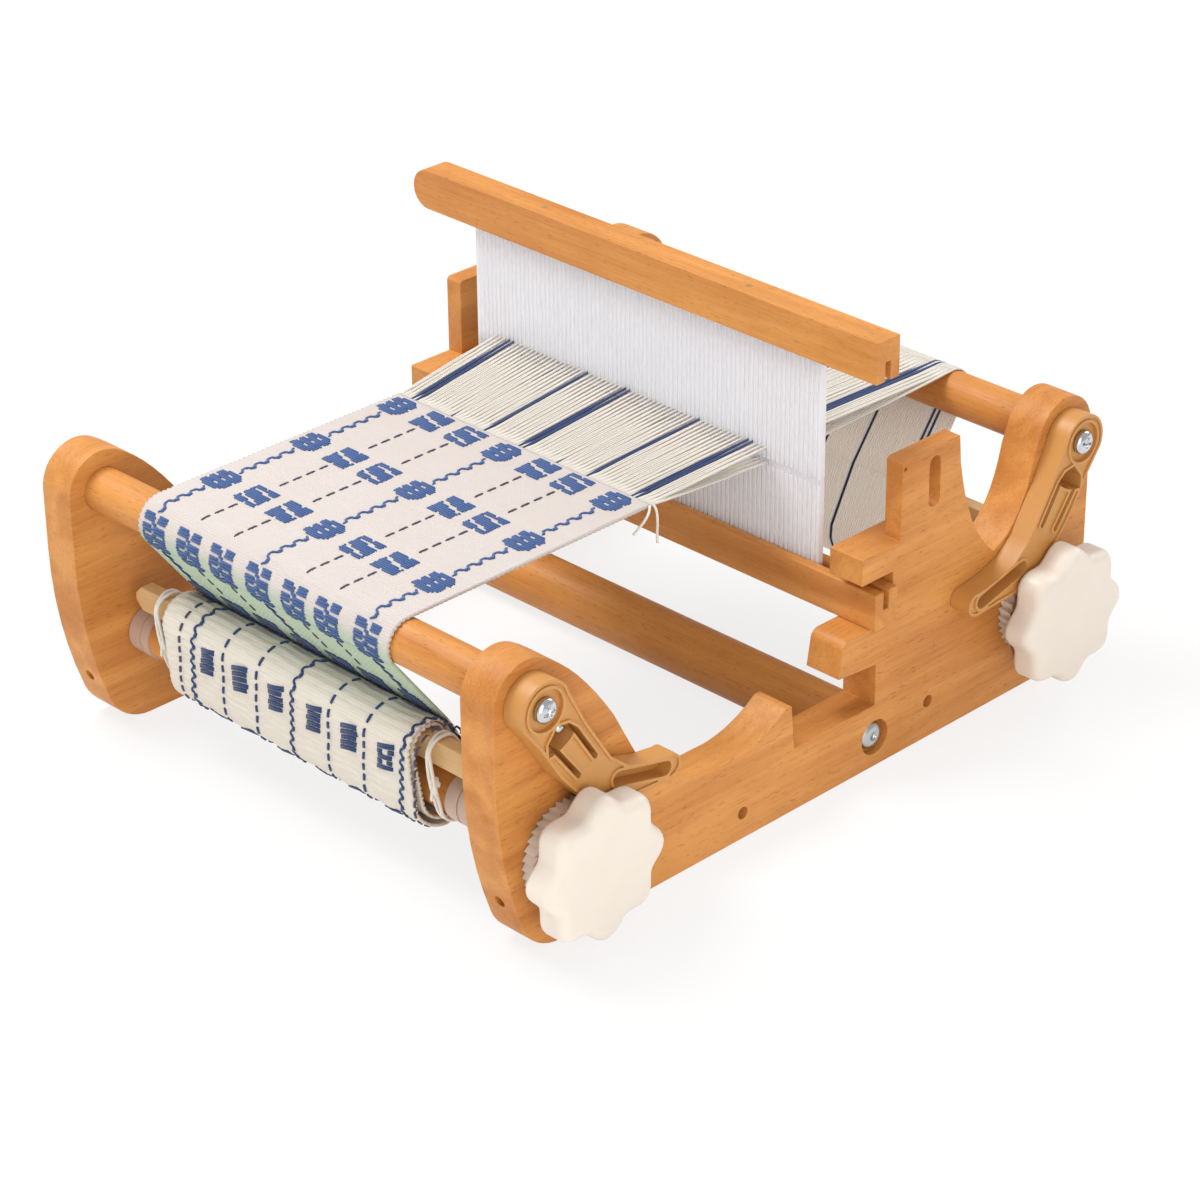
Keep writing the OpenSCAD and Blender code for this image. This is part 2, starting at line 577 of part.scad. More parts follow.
module reed() color(nylon) framed() translate([0, reed_y - reed_t / 2, 0]) difference() {
  translate([-reed_w / 2, 0, reed_z - reed_hold]) cube([reed_w, reed_t, reed_h + 2 * reed_hold]);
  for (i = [0:reed_count - 1]) let (x = (i + 0.5 - reed_count / 2) * reed_pitch) {
    translate([x - reed_slot / 2, -over, reed_z]) cube([reed_slot, reed_t + 2 * over, reed_h]);
    if (i < reed_count - 1) translate([x + reed_pitch / 2 - eye_w / 2, -over, warp_z - eye_h / 2])
      cube([eye_w, reed_t + 2 * over, eye_h]);
  }
}
module heddle_pins() color(brass) framed() for (x = [-1, 1]) translate([x * heddle_pin_x, reed_y,
  top_rail_z + groove_deep + gap]) cylinder(h = top_rail_h - groove_deep - gap, d = heddle_pin_d);

// Weaving: the cloth runs from the fell over the front beam and down to the roll round roller and stick
wrap_r = beam_d / 2 + gap;
roll_in = roller_d / 2 + gap;
stick_reach = norm([stick_d, stick_h]) / 2 + gap;
turn_gap = 0.5;
low_c = [-roller_y, roller_z];
high_c = [stick_y, stick_z];
roll_lean = atan2(high_c[1] - low_c[1], high_c[0] - low_c[0]);
roll_open = acos((roll_in - stick_reach) / norm(high_c - low_c));
turn_steps = 36;
// Where one turn's path runs: its centre, its radius there without growth, and its direction
function stations() = concat(
  [for (i = [0:turn_steps / 2 - 1])
    [high_c, stick_reach, roll_lean + roll_open - 2 * roll_open * i * 2 / turn_steps]],
  [for (i = [0:turn_steps / 2 - 1]) [low_c, roll_in,
    roll_lean - roll_open - (360 - 2 * roll_open) * i / (turn_steps / 2 - 1)]]);
function wound(turns, t, pitch, side) = let (st = stations(), last = turns * turn_steps)
  [for (i = [0:last]) let (s = st[i % turn_steps])
    s[0] + polar(s[1] + pitch * i / turn_steps + side * t, s[2])];
function reversed(points) = [for (i = [len(points) - 1:-1:0]) points[i]];
function inner_line(turns, t) = wound(turns, t, t + turn_gap, 0);
function outer_line(turns, t) = wound(turns, t, t + turn_gap, 1);
module wound_sheet(turns, t) polygon(concat(inner_line(turns, t), reversed(outer_line(turns, t))));
function least_gap(turns, t) = let (inner = inner_line(turns, t), outer = outer_line(turns, t))
  min([for (i = [turn_steps:turns * turn_steps]) for (k = [-2:2]) let (j = i - turn_steps + k)
    if (j >= 0) norm(inner[i] - outer[j])]);
echo(least_gap_between_cloth_turns = least_gap(cloth_turns, cloth_t));
echo(least_gap_between_warp_turns = least_gap(warp_turns, warp_t));
// The roll's radius round the stick where the sheet meets it, half a turn before the winding's end
function roll_reach(turns, t) = stick_reach + (turns - 1 / 2) * (t + turn_gap) + t + gap;
// The sheet leaves the beam's far side and meets the roll's near side, on the inner tangent of the two rounds
function leave_a(reach) = let (v = high_c - [-beam_y, beam_z])
  atan2(v[1], v[0]) - acos((wrap_r + reach) / norm(v)) + 360;
module fall_2d(reach, t) {
  a = leave_a(reach + t);
  from = [-beam_y, beam_z] + polar(wrap_r, a);
  to = high_c - polar(reach + t, a);
  polygon([from, from + polar(t, a), to + polar(t, a), to]);
}
// A sheet that starts at a point's height and runs over the beam, down to the angle where it leaves
module over_beam_2d(start, t, a) polygon(concat([start + [0, t]],
  arc([-beam_y, beam_z], wrap_r + t, 90, a, 12), arc([-beam_y, beam_z], wrap_r, a, 90, 12), [start]));
module cloth_web() color(cream) framed() along_x(cloth_x - cloth_w / 2, cloth_w)
  over_beam_2d([fell_y, web_z], cloth_t, leave_a(roll_reach(cloth_turns, cloth_t) + cloth_t));
module cloth_fall() color(cream) framed() along_x(cloth_x - cloth_w / 2, cloth_w)
  fall_2d(roll_reach(cloth_turns, cloth_t), cloth_t);
module cloth_roll() color(cream) framed() along_x(cloth_x - cloth_w / 2, cloth_w)
  wound_sheet(cloth_turns, cloth_t);

// Warp: from the fell through the reed to the back beam, and down to the rear roller
warp_left = 3;
warp_x = cloth_x - warp_left;
module warp_front() color(cream) framed() translate([0, 0, warp_z - warp_t / 2]) linear_extrude(warp_t)
  polygon([[cloth_x - cloth_w / 2, fell_y + gap], [cloth_x + cloth_w / 2, fell_y + gap],
    [warp_x + warp_w / 2, reed_y - reed_t / 2 - gap], [warp_x - warp_w / 2, reed_y - reed_t / 2 - gap]]);
module warp_back() color(cream) framed() to_rear() along_x(warp_x - warp_w / 2, warp_w)
  over_beam_2d([-reed_y - reed_t / 2 - gap, warp_z - warp_t / 2], warp_t,
    leave_a(roll_reach(warp_turns, warp_t) + warp_t));
module warp_fall() color(cream) framed() to_rear() along_x(warp_x - warp_w / 2, warp_w)
  fall_2d(roll_reach(warp_turns, warp_t), warp_t);
module warp_roll() color(cream) framed() to_rear() along_x(warp_x - warp_w / 2, warp_w)
  wound_sheet(warp_turns, warp_t);

// Two short ends of weft hang from the right edge of the fell
tail_d = 1.4;
tail_points = [[[0.8, -1.2, 0], [1.8, -2.6, -1.6], [2, -5, -4], [1.2, -8, -7], [0.4, -10.5, -9.5]],
  [[0.8, 1, 0], [2.2, 1, -2.4], [3.1, 0.6, -7], [3.4, 0.2, -11.5], [3.8, 0, -16]]];
module weft_tail() color(cream) framed()
  translate([cloth_x + cloth_w / 2 + gap, fell_y, web_z + cloth_t / 2])
    for (points = tail_points) tube(points, tail_d, false);

left_side();
right_side();
front_beam();
back_beam();
brace();
brace_bolts();
beam_screws();
cloth_roller();
cloth_roller_sleeves();
cloth_ratchet();
cloth_knob();
cloth_stick();
cloth_stick_ties();
warp_roller();
warp_roller_sleeves();
warp_ratchet();
warp_knob();
warp_stick();
warp_stick_ties();
front_pawl();
rear_pawl();
front_pawl_screw();
rear_pawl_screw();
front_pawl_pin();
rear_pawl_pin();
heddle_top_rail();
heddle_bottom_rail();
reed();
heddle_pins();
cloth_web();
cloth_fall();
cloth_roll();
warp_front();
warp_back();
warp_fall();
warp_roll();
weft_tail();
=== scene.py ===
"""Wood, yarn, metal and moulded parts of a small table loom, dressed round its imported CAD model."""

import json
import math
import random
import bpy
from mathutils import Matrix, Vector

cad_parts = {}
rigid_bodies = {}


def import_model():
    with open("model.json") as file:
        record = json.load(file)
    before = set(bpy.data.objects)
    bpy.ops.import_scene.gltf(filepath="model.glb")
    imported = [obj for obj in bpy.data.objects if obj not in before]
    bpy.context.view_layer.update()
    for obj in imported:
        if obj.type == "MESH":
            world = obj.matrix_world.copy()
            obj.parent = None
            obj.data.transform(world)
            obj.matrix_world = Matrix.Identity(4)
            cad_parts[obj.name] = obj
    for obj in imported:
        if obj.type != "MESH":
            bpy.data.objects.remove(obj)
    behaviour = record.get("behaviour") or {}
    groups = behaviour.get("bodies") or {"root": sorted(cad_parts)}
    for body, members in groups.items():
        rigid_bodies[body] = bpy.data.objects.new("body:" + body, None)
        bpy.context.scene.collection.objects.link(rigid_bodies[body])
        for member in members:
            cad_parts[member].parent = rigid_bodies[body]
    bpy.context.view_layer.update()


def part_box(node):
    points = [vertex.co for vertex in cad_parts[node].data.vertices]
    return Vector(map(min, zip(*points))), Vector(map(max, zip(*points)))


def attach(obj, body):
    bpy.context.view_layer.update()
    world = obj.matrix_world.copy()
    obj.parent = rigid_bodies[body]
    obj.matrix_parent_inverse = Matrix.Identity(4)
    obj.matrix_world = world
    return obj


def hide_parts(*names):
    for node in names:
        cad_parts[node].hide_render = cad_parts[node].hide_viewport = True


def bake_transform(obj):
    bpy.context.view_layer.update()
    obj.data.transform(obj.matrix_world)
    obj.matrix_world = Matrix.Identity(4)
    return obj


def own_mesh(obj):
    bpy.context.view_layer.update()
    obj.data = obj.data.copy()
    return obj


bl_info = {
    "name": "Table loom looks",
    "version": (1, 0, 0),
    "blender": (4, 5, 0),
    "location": "3D View > Sidebar > Loom",
    "description": "Builds the visible pieces of a rigid-heddle table loom with a weaving in progress",
    "category": "Object",
}

import bmesh
import bpy
from mathutils import Matrix, Vector

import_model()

MM = 0.001


def box_middle(node):
    """The middle of a CAD node's box, in metres."""
    low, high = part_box(node)
    return (Vector(low) + Vector(high)) / 2


def box_half(node, axis):
    """Half of a CAD node's size along an axis."""
    low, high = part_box(node)
    return (high[axis] - low[axis]) / 2


# Places that the CAD gives
BEAM = box_middle("front_beam")
BEAM_R = box_half("front_beam", 2)
ROLLER = box_middle("cloth_roller_sleeves")
ROLLER_R = box_half("cloth_roller", 2)
STICK = box_middle("cloth_stick")
STICK_R = math.hypot(box_half("cloth_stick", 1), box_half("cloth_stick", 2))
WEB_LOW, WEB_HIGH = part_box("cloth_web")
CLOTH_LEFT, CLOTH_RIGHT = WEB_LOW[0], WEB_HIGH[0]
CLOTH_TOP = WEB_HIGH[2]
FELL = WEB_HIGH[1]
REED_LOW, REED_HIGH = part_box("reed")
REED_Y = (REED_LOW[1] + REED_HIGH[1]) / 2

# Space between a sheet and what carries it, and how far over the cloth the middle of its pattern yarns lies
CLEAR = 0.3 * MM
ON_FACE = 0.18 * MM


# Sizes and colours


def srgb(red, green, blue):
    """A colour from its three values of 0 to 255, as the shaders take it."""
    parts = (part / 255 for part in (red, green, blue))
    return tuple(part / 12.92 if part < 0.0404 else ((part + 0.055) / 1.055) ** 2.4 for part in parts)


def number(name, text, default, **more):
    return bpy.props.FloatProperty(name=name, description=text, default=default, **more)


def length(name, text, millimetres):
    return number(name, text, millimetres * MM, min=0, unit="LENGTH", precision=5)


def angle(name, text, degrees):
    return number(name, text, math.radians(degrees), subtype="ANGLE")


def colour(name, text, *parts):
    shown = {"size": 3, "min": 0, "max": 1, "subtype": "COLOR"}
    return bpy.props.FloatVectorProperty(name=name, description=text, default=srgb(*parts), **shown)


class LoomSizes(bpy.types.PropertyGroup):
    edge: length("Eased edge", "Rounding of the edges of the wooden parts", 0.9)
    small_edge: length("Small eased edge", "Rounding of slots, recesses and moulded edges", 0.35)
    cloth: length("Cloth thickness", "Thickness of the woven cloth", 1.4)
    warp: length("Warp thickness", "Height that one layer of warp takes on the rear roller", 0.9)
    turn_gap: length("Gap between turns", "Space between two turns on a roller", 0.5)
    slack: length("Slack", "How far the outer turn of cloth hangs loose in front of the roller", 2.0)
    thread: length("Warp thread", "Diameter of a warp yarn; two lie side by side in each slot or eye", 1.0)
    spread: length("Pair spread", "How far the two yarns of a pair lie apart between fell and reed", 1.0)
    pick: length("Pick", "Distance between two weft picks", 1.25)
    weave: length("Weave height", "How far the crossings of the weave stand up and down", 0.08)
    reed_slot: length("Reed slot", "Width of a slot of the reed", 1.15)
    reed_eye: length("Reed eye", "Height of an eye of the reed", 3.4)
    layer: length("Shed", "Height of the two warp layers over and under the middle at the reed", 3.2)
    float_yarn: length("Float", "Width of a pattern float on the cloth", 1.2)
    tie: length("Tie cord", "Diameter of the cords that tie the sticks to the rollers", 1.5)
    threads: bpy.props.IntProperty(name="Warp threads", description="Number of threads", default=128, min=8)
    cloth_turns: number("Cloth turns", "Turns of cloth on the front roller", 2.25)
    warp_turns: number("Warp turns", "Turns of warp on the rear roller", 3.2)


class LoomColours(bpy.types.PropertyGroup):
    beech_light: colour("Beech, light", "Light parts of the beech's grain", 220, 153, 80)
    beech_dark: colour("Beech, dark", "Dark parts of the beech's grain", 186, 115, 50)
    fleck: colour("Beech flecks", "Short dark flecks in the beech", 140, 80, 34)
    stick_light: colour("Stick, light", "Light parts of the warp sticks", 226, 189, 136)
    stick_dark: colour("Stick, dark", "Dark parts of the warp sticks", 204, 160, 104)
    pawl: colour("Pawl", "Wood-coloured plastic of the pawls", 201, 143, 76)
    # A warm white: partly the plastic's own colour and partly a painted reflection of the orange beech round
    # the knobs
    knob: colour("White plastic", "Knobs and ratchet wheels", 234, 224, 212)
    sleeve: colour("Sleeve", "Grey-brown plastic of the roller sleeves", 204, 178, 162)
    reed: colour("Reed", "Nylon of the reed", 247, 247, 249)
    cream: colour("Cream yarn", "Undyed yarn of the cloth", 211, 203, 199)
    # Painted shade: a darker grey-green copy of the cream cloth, for where the cloth lies in shade, down past
    # the beam and behind the roll
    shade: colour("Shaded yarn", "The cloth where it falls behind the roll", 176, 198, 172)
    roll_cream: colour("Wound yarn", "The cloth's back on the roller", 231, 225, 214)
    warp_cream: colour("Warp yarn", "Undyed warp yarn", 230, 224, 214)
    navy: colour("Navy yarn", "Blue pattern yarn", 64, 96, 152)
    # The fall's pattern also takes this colour, as painted shade
    deep_navy: colour("Deep navy yarn", "Blue yarn on the cloth's back, and navy warp", 42, 66, 112)
    dash: colour("Dark yarn", "Dark yarn of the dashed lines", 74, 70, 92)
    cord: colour("Tie cord", "White cord of the ties", 240, 237, 228)
    steel: colour("Steel", "Bolts", 196, 197, 198)
    chrome: colour("Chrome", "Screws and pins", 214, 216, 220)
    brass: colour("Brass", "Small pins of the heddle", 244, 210, 140)
    floor: colour("Floor", "Floor and backdrop", 244, 243, 241)


class LoomView(bpy.types.PropertyGroup):
    azimuth: angle("Azimuth", "Turn of the view from the front", 45.39)
    elevation: angle("Elevation", "Height of the view", 28.36)
    roll: angle("Roll", "Roll of the view", -0.54)
    lens: number("Lens", "Focal length in millimetres", 114.1)
    distance: number("Distance", "Distance of the camera from its target", 1.6495, unit="LENGTH")
    target: bpy.props.FloatVectorProperty(
        name="Target", description="Point that the camera looks at", default=(-0.0195, 0.02234, 0.0317),
        size=3, subtype="TRANSLATION",
    )


# Nodes of the finishes


class Nodes:
    """Adds nodes to a shader tree; an input takes a value or another node's output."""

    def __init__(self, tree):
        self.tree = tree

    def put(self, node, inputs):
        for key, value in inputs.items():
            socket = node.inputs[key]
            if isinstance(value, bpy.types.NodeSocket):
                self.tree.links.new(value, socket)
            elif socket.type == "RGBA":
                socket.default_value = (*value[:3], 1.0)
            else:
                socket.default_value = value
        return node

    def add(self, kind, inputs=None, **settings):
        node = self.tree.nodes.new(kind)
        for key, value in settings.items():
            setattr(node, key, value)
        return self.put(node, inputs or {})

    def maths(self, operation, a, b=0.0):
        return self.add("ShaderNodeMath", {0: a, 1: b}, operation=operation).outputs[0]

    def plus(self, a, b):
        return self.maths("ADD", a, b)

    def times(self, a, b):
        return self.maths("MULTIPLY", a, b)

    def stretch(self, vector, by):
        return self.add("ShaderNodeVectorMath", {0: vector, 1: by}, operation="MULTIPLY").outputs[0]

    def split(self, vector):
        return self.add("ShaderNodeSeparateXYZ", {0: vector}).outputs

    def noise(self, vector, scale, detail=2.0, rough=0.5, distortion=0.0):
        inputs = {"Vector": vector, "Scale": scale, "Detail": detail, "Roughness": rough}
        inputs["Distortion"] = distortion
        return self.add("ShaderNodeTexNoise", inputs).outputs["Fac"]

    def between(self, value, low, high, to_low=0.0, to_high=1.0):
        inputs = {"Value": value, "From Min": low, "From Max": high, "To Min": to_low, "To Max": to_high}
        return self.add("ShaderNodeMapRange", inputs, clamp=True).outputs["Result"]

    def mixed(self, share, a, b):
        return self.add("ShaderNodeMix", {0: share, 6: a, 7: b}, data_type="RGBA").outputs[2]

    def bump(self, height, distance, strength):
        inputs = {"Height": height, "Distance": distance, "Strength": strength}
        return self.add("ShaderNodeBump", inputs).outputs[0]

    def object_place(self, turn=(0, 0, 0), shift=(0, 0, 0)):
        place = self.add("ShaderNodeTexCoord").outputs["Object"]
        inputs = {"Vector": place, "Rotation": turn, "Location": shift}
        return self.add("ShaderNodeMapping", inputs).outputs[0]

    def flat_map(self):
        return self.add("ShaderNodeUVMap", uv_map="flat").outputs[0]

    def group(self, tree, inputs):
        return self.add("ShaderNodeGroup", inputs, node_tree=tree).outputs


def shared_group(inputs, outputs):
    """Makes a function's shader group once, under the function's name, with sockets of the given kinds."""

    def prepared(fill):
        def group():
            if fill.__name__ in bpy.data.node_groups:
                return bpy.data.node_groups[fill.__name__]
            tree = bpy.data.node_groups.new(fill.__name__, "ShaderNodeTree")
            for way, sockets in (("INPUT", inputs), ("OUTPUT", outputs)):
                for label, kind in sockets.items():
                    tree.interface.new_socket(name=label, in_out=way, socket_type=f"NodeSocket{kind}")
            nodes = Nodes(tree)
            found = fill(nodes, nodes.add("NodeGroupInput").outputs)
            nodes.add("NodeGroupOutput", found)
            return tree

        return group

    return prepared


@shared_group(
    {"Vector": "Vector", "Light": "Color", "Dark": "Color", "Fleck Colour": "Color", "Fleck Share": "Float",
     "Bands": "Float"},
    {"Colour": "Color", "Height": "Float", "Sheen Mask": "Float"},
)
def wood_grain(nodes, take):
    """Beech: the grain runs along the vector's Y, with soft bands, fine streaks and short flecks."""
    place = take["Vector"]
    bands = nodes.noise(nodes.stretch(place, (1, 0.09, 1)), 62, 3, 0.55, 0.5)
    streaks = nodes.noise(nodes.stretch(place, (1, 0.025, 1)), 900, 3, 0.65)
    flecks = nodes.between(nodes.noise(nodes.stretch(place, (1, 0.12, 1)), 1700, 1), 0.62, 0.74)
    clouds = nodes.noise(place, 14)
    share = nodes.times(nodes.between(bands, 0.35, 0.68), take["Bands"])
    share = nodes.plus(share, nodes.between(streaks, 0.3, 0.75, -0.18, 0.26))
    share = nodes.plus(share, nodes.between(clouds, 0.3, 0.7, -0.15, 0.2))
    body = nodes.mixed(nodes.between(share, 0, 1), take["Light"], take["Dark"])
    return {
        "Colour": nodes.mixed(nodes.times(flecks, take["Fleck Share"]), body, take["Fleck Colour"]),
        "Height": nodes.plus(nodes.times(streaks, 0.6), nodes.times(flecks, -0.4)),
        "Sheen Mask": nodes.between(bands, 0.3, 0.7),
    }


@shared_group({"Vector": "Vector", "Size": "Float"}, {"Smudges": "Float", "Specks": "Float"})
def handling(nodes, take):
    """Marks of use on smooth surfaces: faint smudges and fine specks."""
    smudges = nodes.noise(take["Vector"], take["Size"], 3, 0.6)
    return {"Smudges": nodes.between(smudges, 0.35, 0.7), "Specks": nodes.noise(take["Vector"], 2400, 1)}


@shared_group(
    {"Vector": "Vector", "Warp Pitch": "Float", "Weft Pitch": "Float"},
    {"Height": "Float", "Hollow": "Float", "Yarn Tone": "Float"},
)
def plain_weave(nodes, take):
    """Plain weave on a flat map in metres: yarn height, and how deep the hollows between yarns are."""
    waves = []
    for place, pitch in zip(nodes.split(take["Vector"]), ("Warp Pitch", "Weft Pitch")):
        phase = nodes.times(nodes.maths("DIVIDE", place, take[pitch]), math.pi)
        waves.append(nodes.maths("COSINE", phase))
    warp_rib, weft_rib = (nodes.maths("ABSOLUTE", wave) for wave in waves)
    over = nodes.between(nodes.times(*waves), -0.25, 0.25)
    warp_high = nodes.times(warp_rib, nodes.maths("SUBTRACT", 1.0, over))
    height = nodes.maths("MAXIMUM", nodes.times(weft_rib, over), nodes.times(warp_high, 0.8))
    picks = nodes.noise(nodes.stretch(take["Vector"], (0.06, 1, 1)), 640)
    return {
        "Height": height,
        "Hollow": nodes.between(height, 0.05, 0.55, 1.0, 0.0),
        "Yarn Tone": nodes.between(picks, 0.3, 0.7),
    }


@shared_group({"Vector": "Vector", "Pitch": "Float"}, {"Height": "Float", "Tone": "Float"})
def yarn_twist(nodes, take):
    """Twisted yarn: fine slanted plies along the map's first direction, in metres, and fuzz."""
    along, round_it, _ = nodes.split(take["Vector"])
    turn = nodes.plus(nodes.maths("DIVIDE", along, take["Pitch"]), nodes.times(round_it, 2.0))
    wave = nodes.maths("SINE", nodes.times(turn, math.pi * 2))
    return {
        "Height": nodes.between(wave, -1, 1),
        "Tone": nodes.between(nodes.noise(take["Vector"], 900), 0.3, 0.7),
    }


def new_finish(name):
    """A new material, with its nodes and its main shader."""
    material = bpy.data.materials.new(name)
    material.use_nodes = True
    return material, Nodes(material.node_tree), material.node_tree.nodes["Principled BSDF"]


def darker(base, share):
    return tuple(v * share for v in base)


def wood_finish(name, light, dark, turn=(0, 0, 0), shift=(0, 0, 0), flecks=0.5, bands=0.8):
    """Oiled wood with its grain along Y, or turned by the given angles."""
    material, nodes, shader = new_finish(name)
    place = nodes.object_place(turn, shift)
    fleck = bpy.context.scene.loom_colours.fleck
    grain = nodes.group(wood_grain(), {
        "Vector": place, "Light": light, "Dark": dark, "Fleck Colour": fleck, "Fleck Share": flecks,
        "Bands": bands,
    })
    marks = nodes.group(handling(), {"Vector": place, "Size": 38.0})
    nodes.put(shader, {
        "Base Color": nodes.mixed(nodes.times(marks["Smudges"], 0.16), grain["Colour"], dark),
        "Roughness": nodes.between(nodes.plus(grain["Sheen Mask"], marks["Smudges"]), 0, 2, 0.44, 0.6),
        "Specular IOR Level": 0.36,
        "Normal": nodes.bump(grain["Height"], 0.00012, 0.6),
    })
    return material


def moulded_finish(name, base, roughness, glow, tone):
    """Moulded plastic: an even colour with faint flow tones, smudges in the gloss and a fine satin bump."""
    material, nodes, shader = new_finish(name)
    marks = nodes.group(handling(), {"Vector": nodes.object_place(), "Size": 75.0})
    nodes.put(shader, {
        "Base Color": nodes.mixed(nodes.times(marks["Smudges"], tone), base, darker(base, 0.82)),
        "Roughness": nodes.between(marks["Smudges"], 0, 1, roughness, roughness + 0.14),
        "Normal": nodes.bump(marks["Specks"], 0.00003, 0.5),
        "Subsurface Weight": glow,
        "Subsurface Radius": (0.004, 0.003, 0.002),
        "Subsurface Scale": 1.0,
    })
    return material


def metal_finish(name, base, roughness):
    """Polished or plated metal with fine scratches in its gloss."""
    material, nodes, shader = new_finish(name)
    place = nodes.object_place()
    marks = nodes.group(handling(), {"Vector": place, "Size": 260.0})
    scratches = nodes.noise(nodes.stretch(place, (1, 9, 9)), 500)
    gloss = nodes.plus(marks["Smudges"], scratches)
    nodes.put(shader, {
        "Base Color": nodes.mixed(nodes.times(marks["Smudges"], 0.3), base, darker(base, 0.7)),
        "Roughness": nodes.between(gloss, 0, 2, roughness, roughness + 0.2),
        "Metallic": 1.0,
        "Normal": nodes.bump(scratches, 0.00001, 0.4),
    })
    return material


def reed_finish(name, base):
    """Milky nylon that lets light through."""
    material = moulded_finish(name, base, 0.32, 0.0, 0.08)
    nodes, parts = Nodes(material.node_tree), material.node_tree.nodes
    through = nodes.add("ShaderNodeBsdfTranslucent", {"Color": base})
    satin = parts["Principled BSDF"]
    both = nodes.add("ShaderNodeMixShader", {0: 0.5, 1: satin.outputs[0], 2: through.outputs[0]})
    nodes.put(parts["Material Output"], {"Surface": both.outputs[0]})
    return material


def cloth_finish(name, base, far=None, shade_from=0.0, shade_to=1.0, ridges=0.0):
    """Woven cloth on the piece's own flat map in metres; it can turn to a colour of painted shade at its far
    end.
    """
    material, nodes, shader = new_finish(name)
    sizes = bpy.context.scene.loom_sizes
    flat = nodes.flat_map()
    pitch = (CLOTH_RIGHT - CLOTH_LEFT) / sizes.threads
    weave = nodes.group(plain_weave(), {"Vector": flat, "Warp Pitch": pitch, "Weft Pitch": sizes.pick})
    warm = (base[0] * 0.97, base[1] * 0.91, base[2] * 0.85)
    toned = nodes.mixed(nodes.times(weave["Yarn Tone"], 0.5), base, warm)
    clouds = nodes.between(nodes.noise(flat, 45, 3), 0.35, 0.7)
    toned = nodes.mixed(nodes.times(clouds, 0.35), toned, warm)
    along = nodes.split(flat)[1]
    # Painted shade: along the cloth the colour turns to the far colour, the shade where the cloth goes down
    # past the beam
    if far:
        toned = nodes.mixed(nodes.between(along, shade_from, shade_to), toned, far)
    height = nodes.plus(weave["Height"], nodes.times(nodes.noise(flat, 2600), 0.35))
    if ridges:
        sway = nodes.times(nodes.noise(nodes.stretch(flat, (1, 0.4, 1)), 42), 2.2)
        phase = nodes.plus(nodes.maths("DIVIDE", along, 0.0034), sway)
        wave = nodes.between(nodes.maths("SINE", nodes.times(phase, 2 * math.pi)), -1, 1)
        height = nodes.plus(height, nodes.times(wave, ridges))
    nodes.put(shader, {
        # Painted shade: the hollows between the yarns are darkened
        "Base Color": nodes.mixed(nodes.times(weave["Hollow"], 0.42), toned, darker(base, 0.66)),
        "Roughness": nodes.between(weave["Yarn Tone"], 0, 1, 0.82, 0.95),
        "Normal": nodes.bump(height, 0.00022, 0.6),
        "Sheen Weight": 0.15,
        "Sheen Roughness": 0.6,
    })
    return material


def yarn_finish(name, base, tone=0.5, pitch=0.0016, glow=0.0):
    """Twisted cotton yarn on the thread's own map. A glow stands for light that the shaded warp gets."""
    material, nodes, shader = new_finish(name)
    twist = nodes.group(yarn_twist(), {"Vector": nodes.flat_map(), "Pitch": pitch})
    deep = darker(base, 0.68)
    toned = nodes.mixed(nodes.times(twist["Tone"], tone), base, deep)
    # Painted shade: the grooves between the plies are darkened
    plies = nodes.times(nodes.maths("SUBTRACT", 1.0, twist["Height"]), 0.22)
    nodes.put(shader, {
        "Base Color": nodes.mixed(plies, toned, deep),
        "Roughness": nodes.between(twist["Tone"], 0, 1, 0.8, 0.95),
        "Normal": nodes.bump(twist["Height"], 0.0001, 0.6),
        "Sheen Weight": 0.2,
        "Sheen Roughness": 0.5,
    })
    # Painted light: an emission in the yarn's own tones, full up to 70 mm high and fading to almost none at
    # 112 mm, brightens the warp where it lies in shade
    if glow:
        height = nodes.split(nodes.object_place())[2]
        strength = nodes.between(height, 70 * MM, 112 * MM, glow, 0.02)
        nodes.put(shader, {"Emission Color": toned, "Emission Strength": strength})
    return material


# Turns a grain from Y to X
ACROSS = (0, 0, math.pi / 2)


def beech(way, piece):
    """Beech with its grain along an axis; each piece has its own part of the grain."""
    colours = bpy.context.scene.loom_colours
    turn = ACROSS if way == "x" else (0, 0, 0)
    shift = (0.31 * piece, 0.17 * piece, 0.23 * piece)
    return wood_finish(f"beech_{way}_{piece}", colours.beech_light, colours.beech_dark, turn, shift)


# Making pieces


def to_object(build, name, material, smooth=180):
    """Turns a bmesh into an object at the origin, smooth but for edges sharper than an angle."""
    mesh = bpy.data.meshes.new(name)
    build.to_mesh(mesh)
    build.free()
    mesh.polygons.foreach_set("use_smooth", [True] * len(mesh.polygons))
    mesh.set_sharp_from_angle(angle=math.radians(smooth))
    mesh.materials.append(material)
    made = bpy.data.objects.new(name, mesh)
    bpy.context.scene.collection.objects.link(made)
    return made


def joined_edges(edges):
    """Sorts edges into groups that hang together."""
    left, groups = set(edges), []
    while left:
        first = left.pop()
        group, open_edges = [first], [first]
        while open_edges:
            for corner in open_edges.pop().verts:
                for other in corner.link_edges:
                    if other in left:
                        left.discard(other)
                        group.append(other)
                        open_edges.append(other)
        groups.append(group)
    return groups


def reach_of(edges):
    """The diagonal of the box round some edges."""
    points = [corner.co for edge in edges for corner in edge.verts]
    return math.hypot(*(max(p[i] for p in points) - min(p[i] for p in points) for i in range(3)))


def new_cap(build):
    """Makes the flat faces at a part's +X end anew, as one fan for each outline."""
    far = max(corner.co.x for corner in build.verts)
    flat = [face for face in build.faces if all(far - corner.co.x < 1e-6 for corner in face.verts)]
    bmesh.ops.delete(build, geom=flat, context="FACES")
    rims = [edge for edge in build.edges if edge.is_boundary]
    bmesh.ops.poke(build, faces=bmesh.ops.holes_fill(build, edges=rims, sides=0)["faces"])


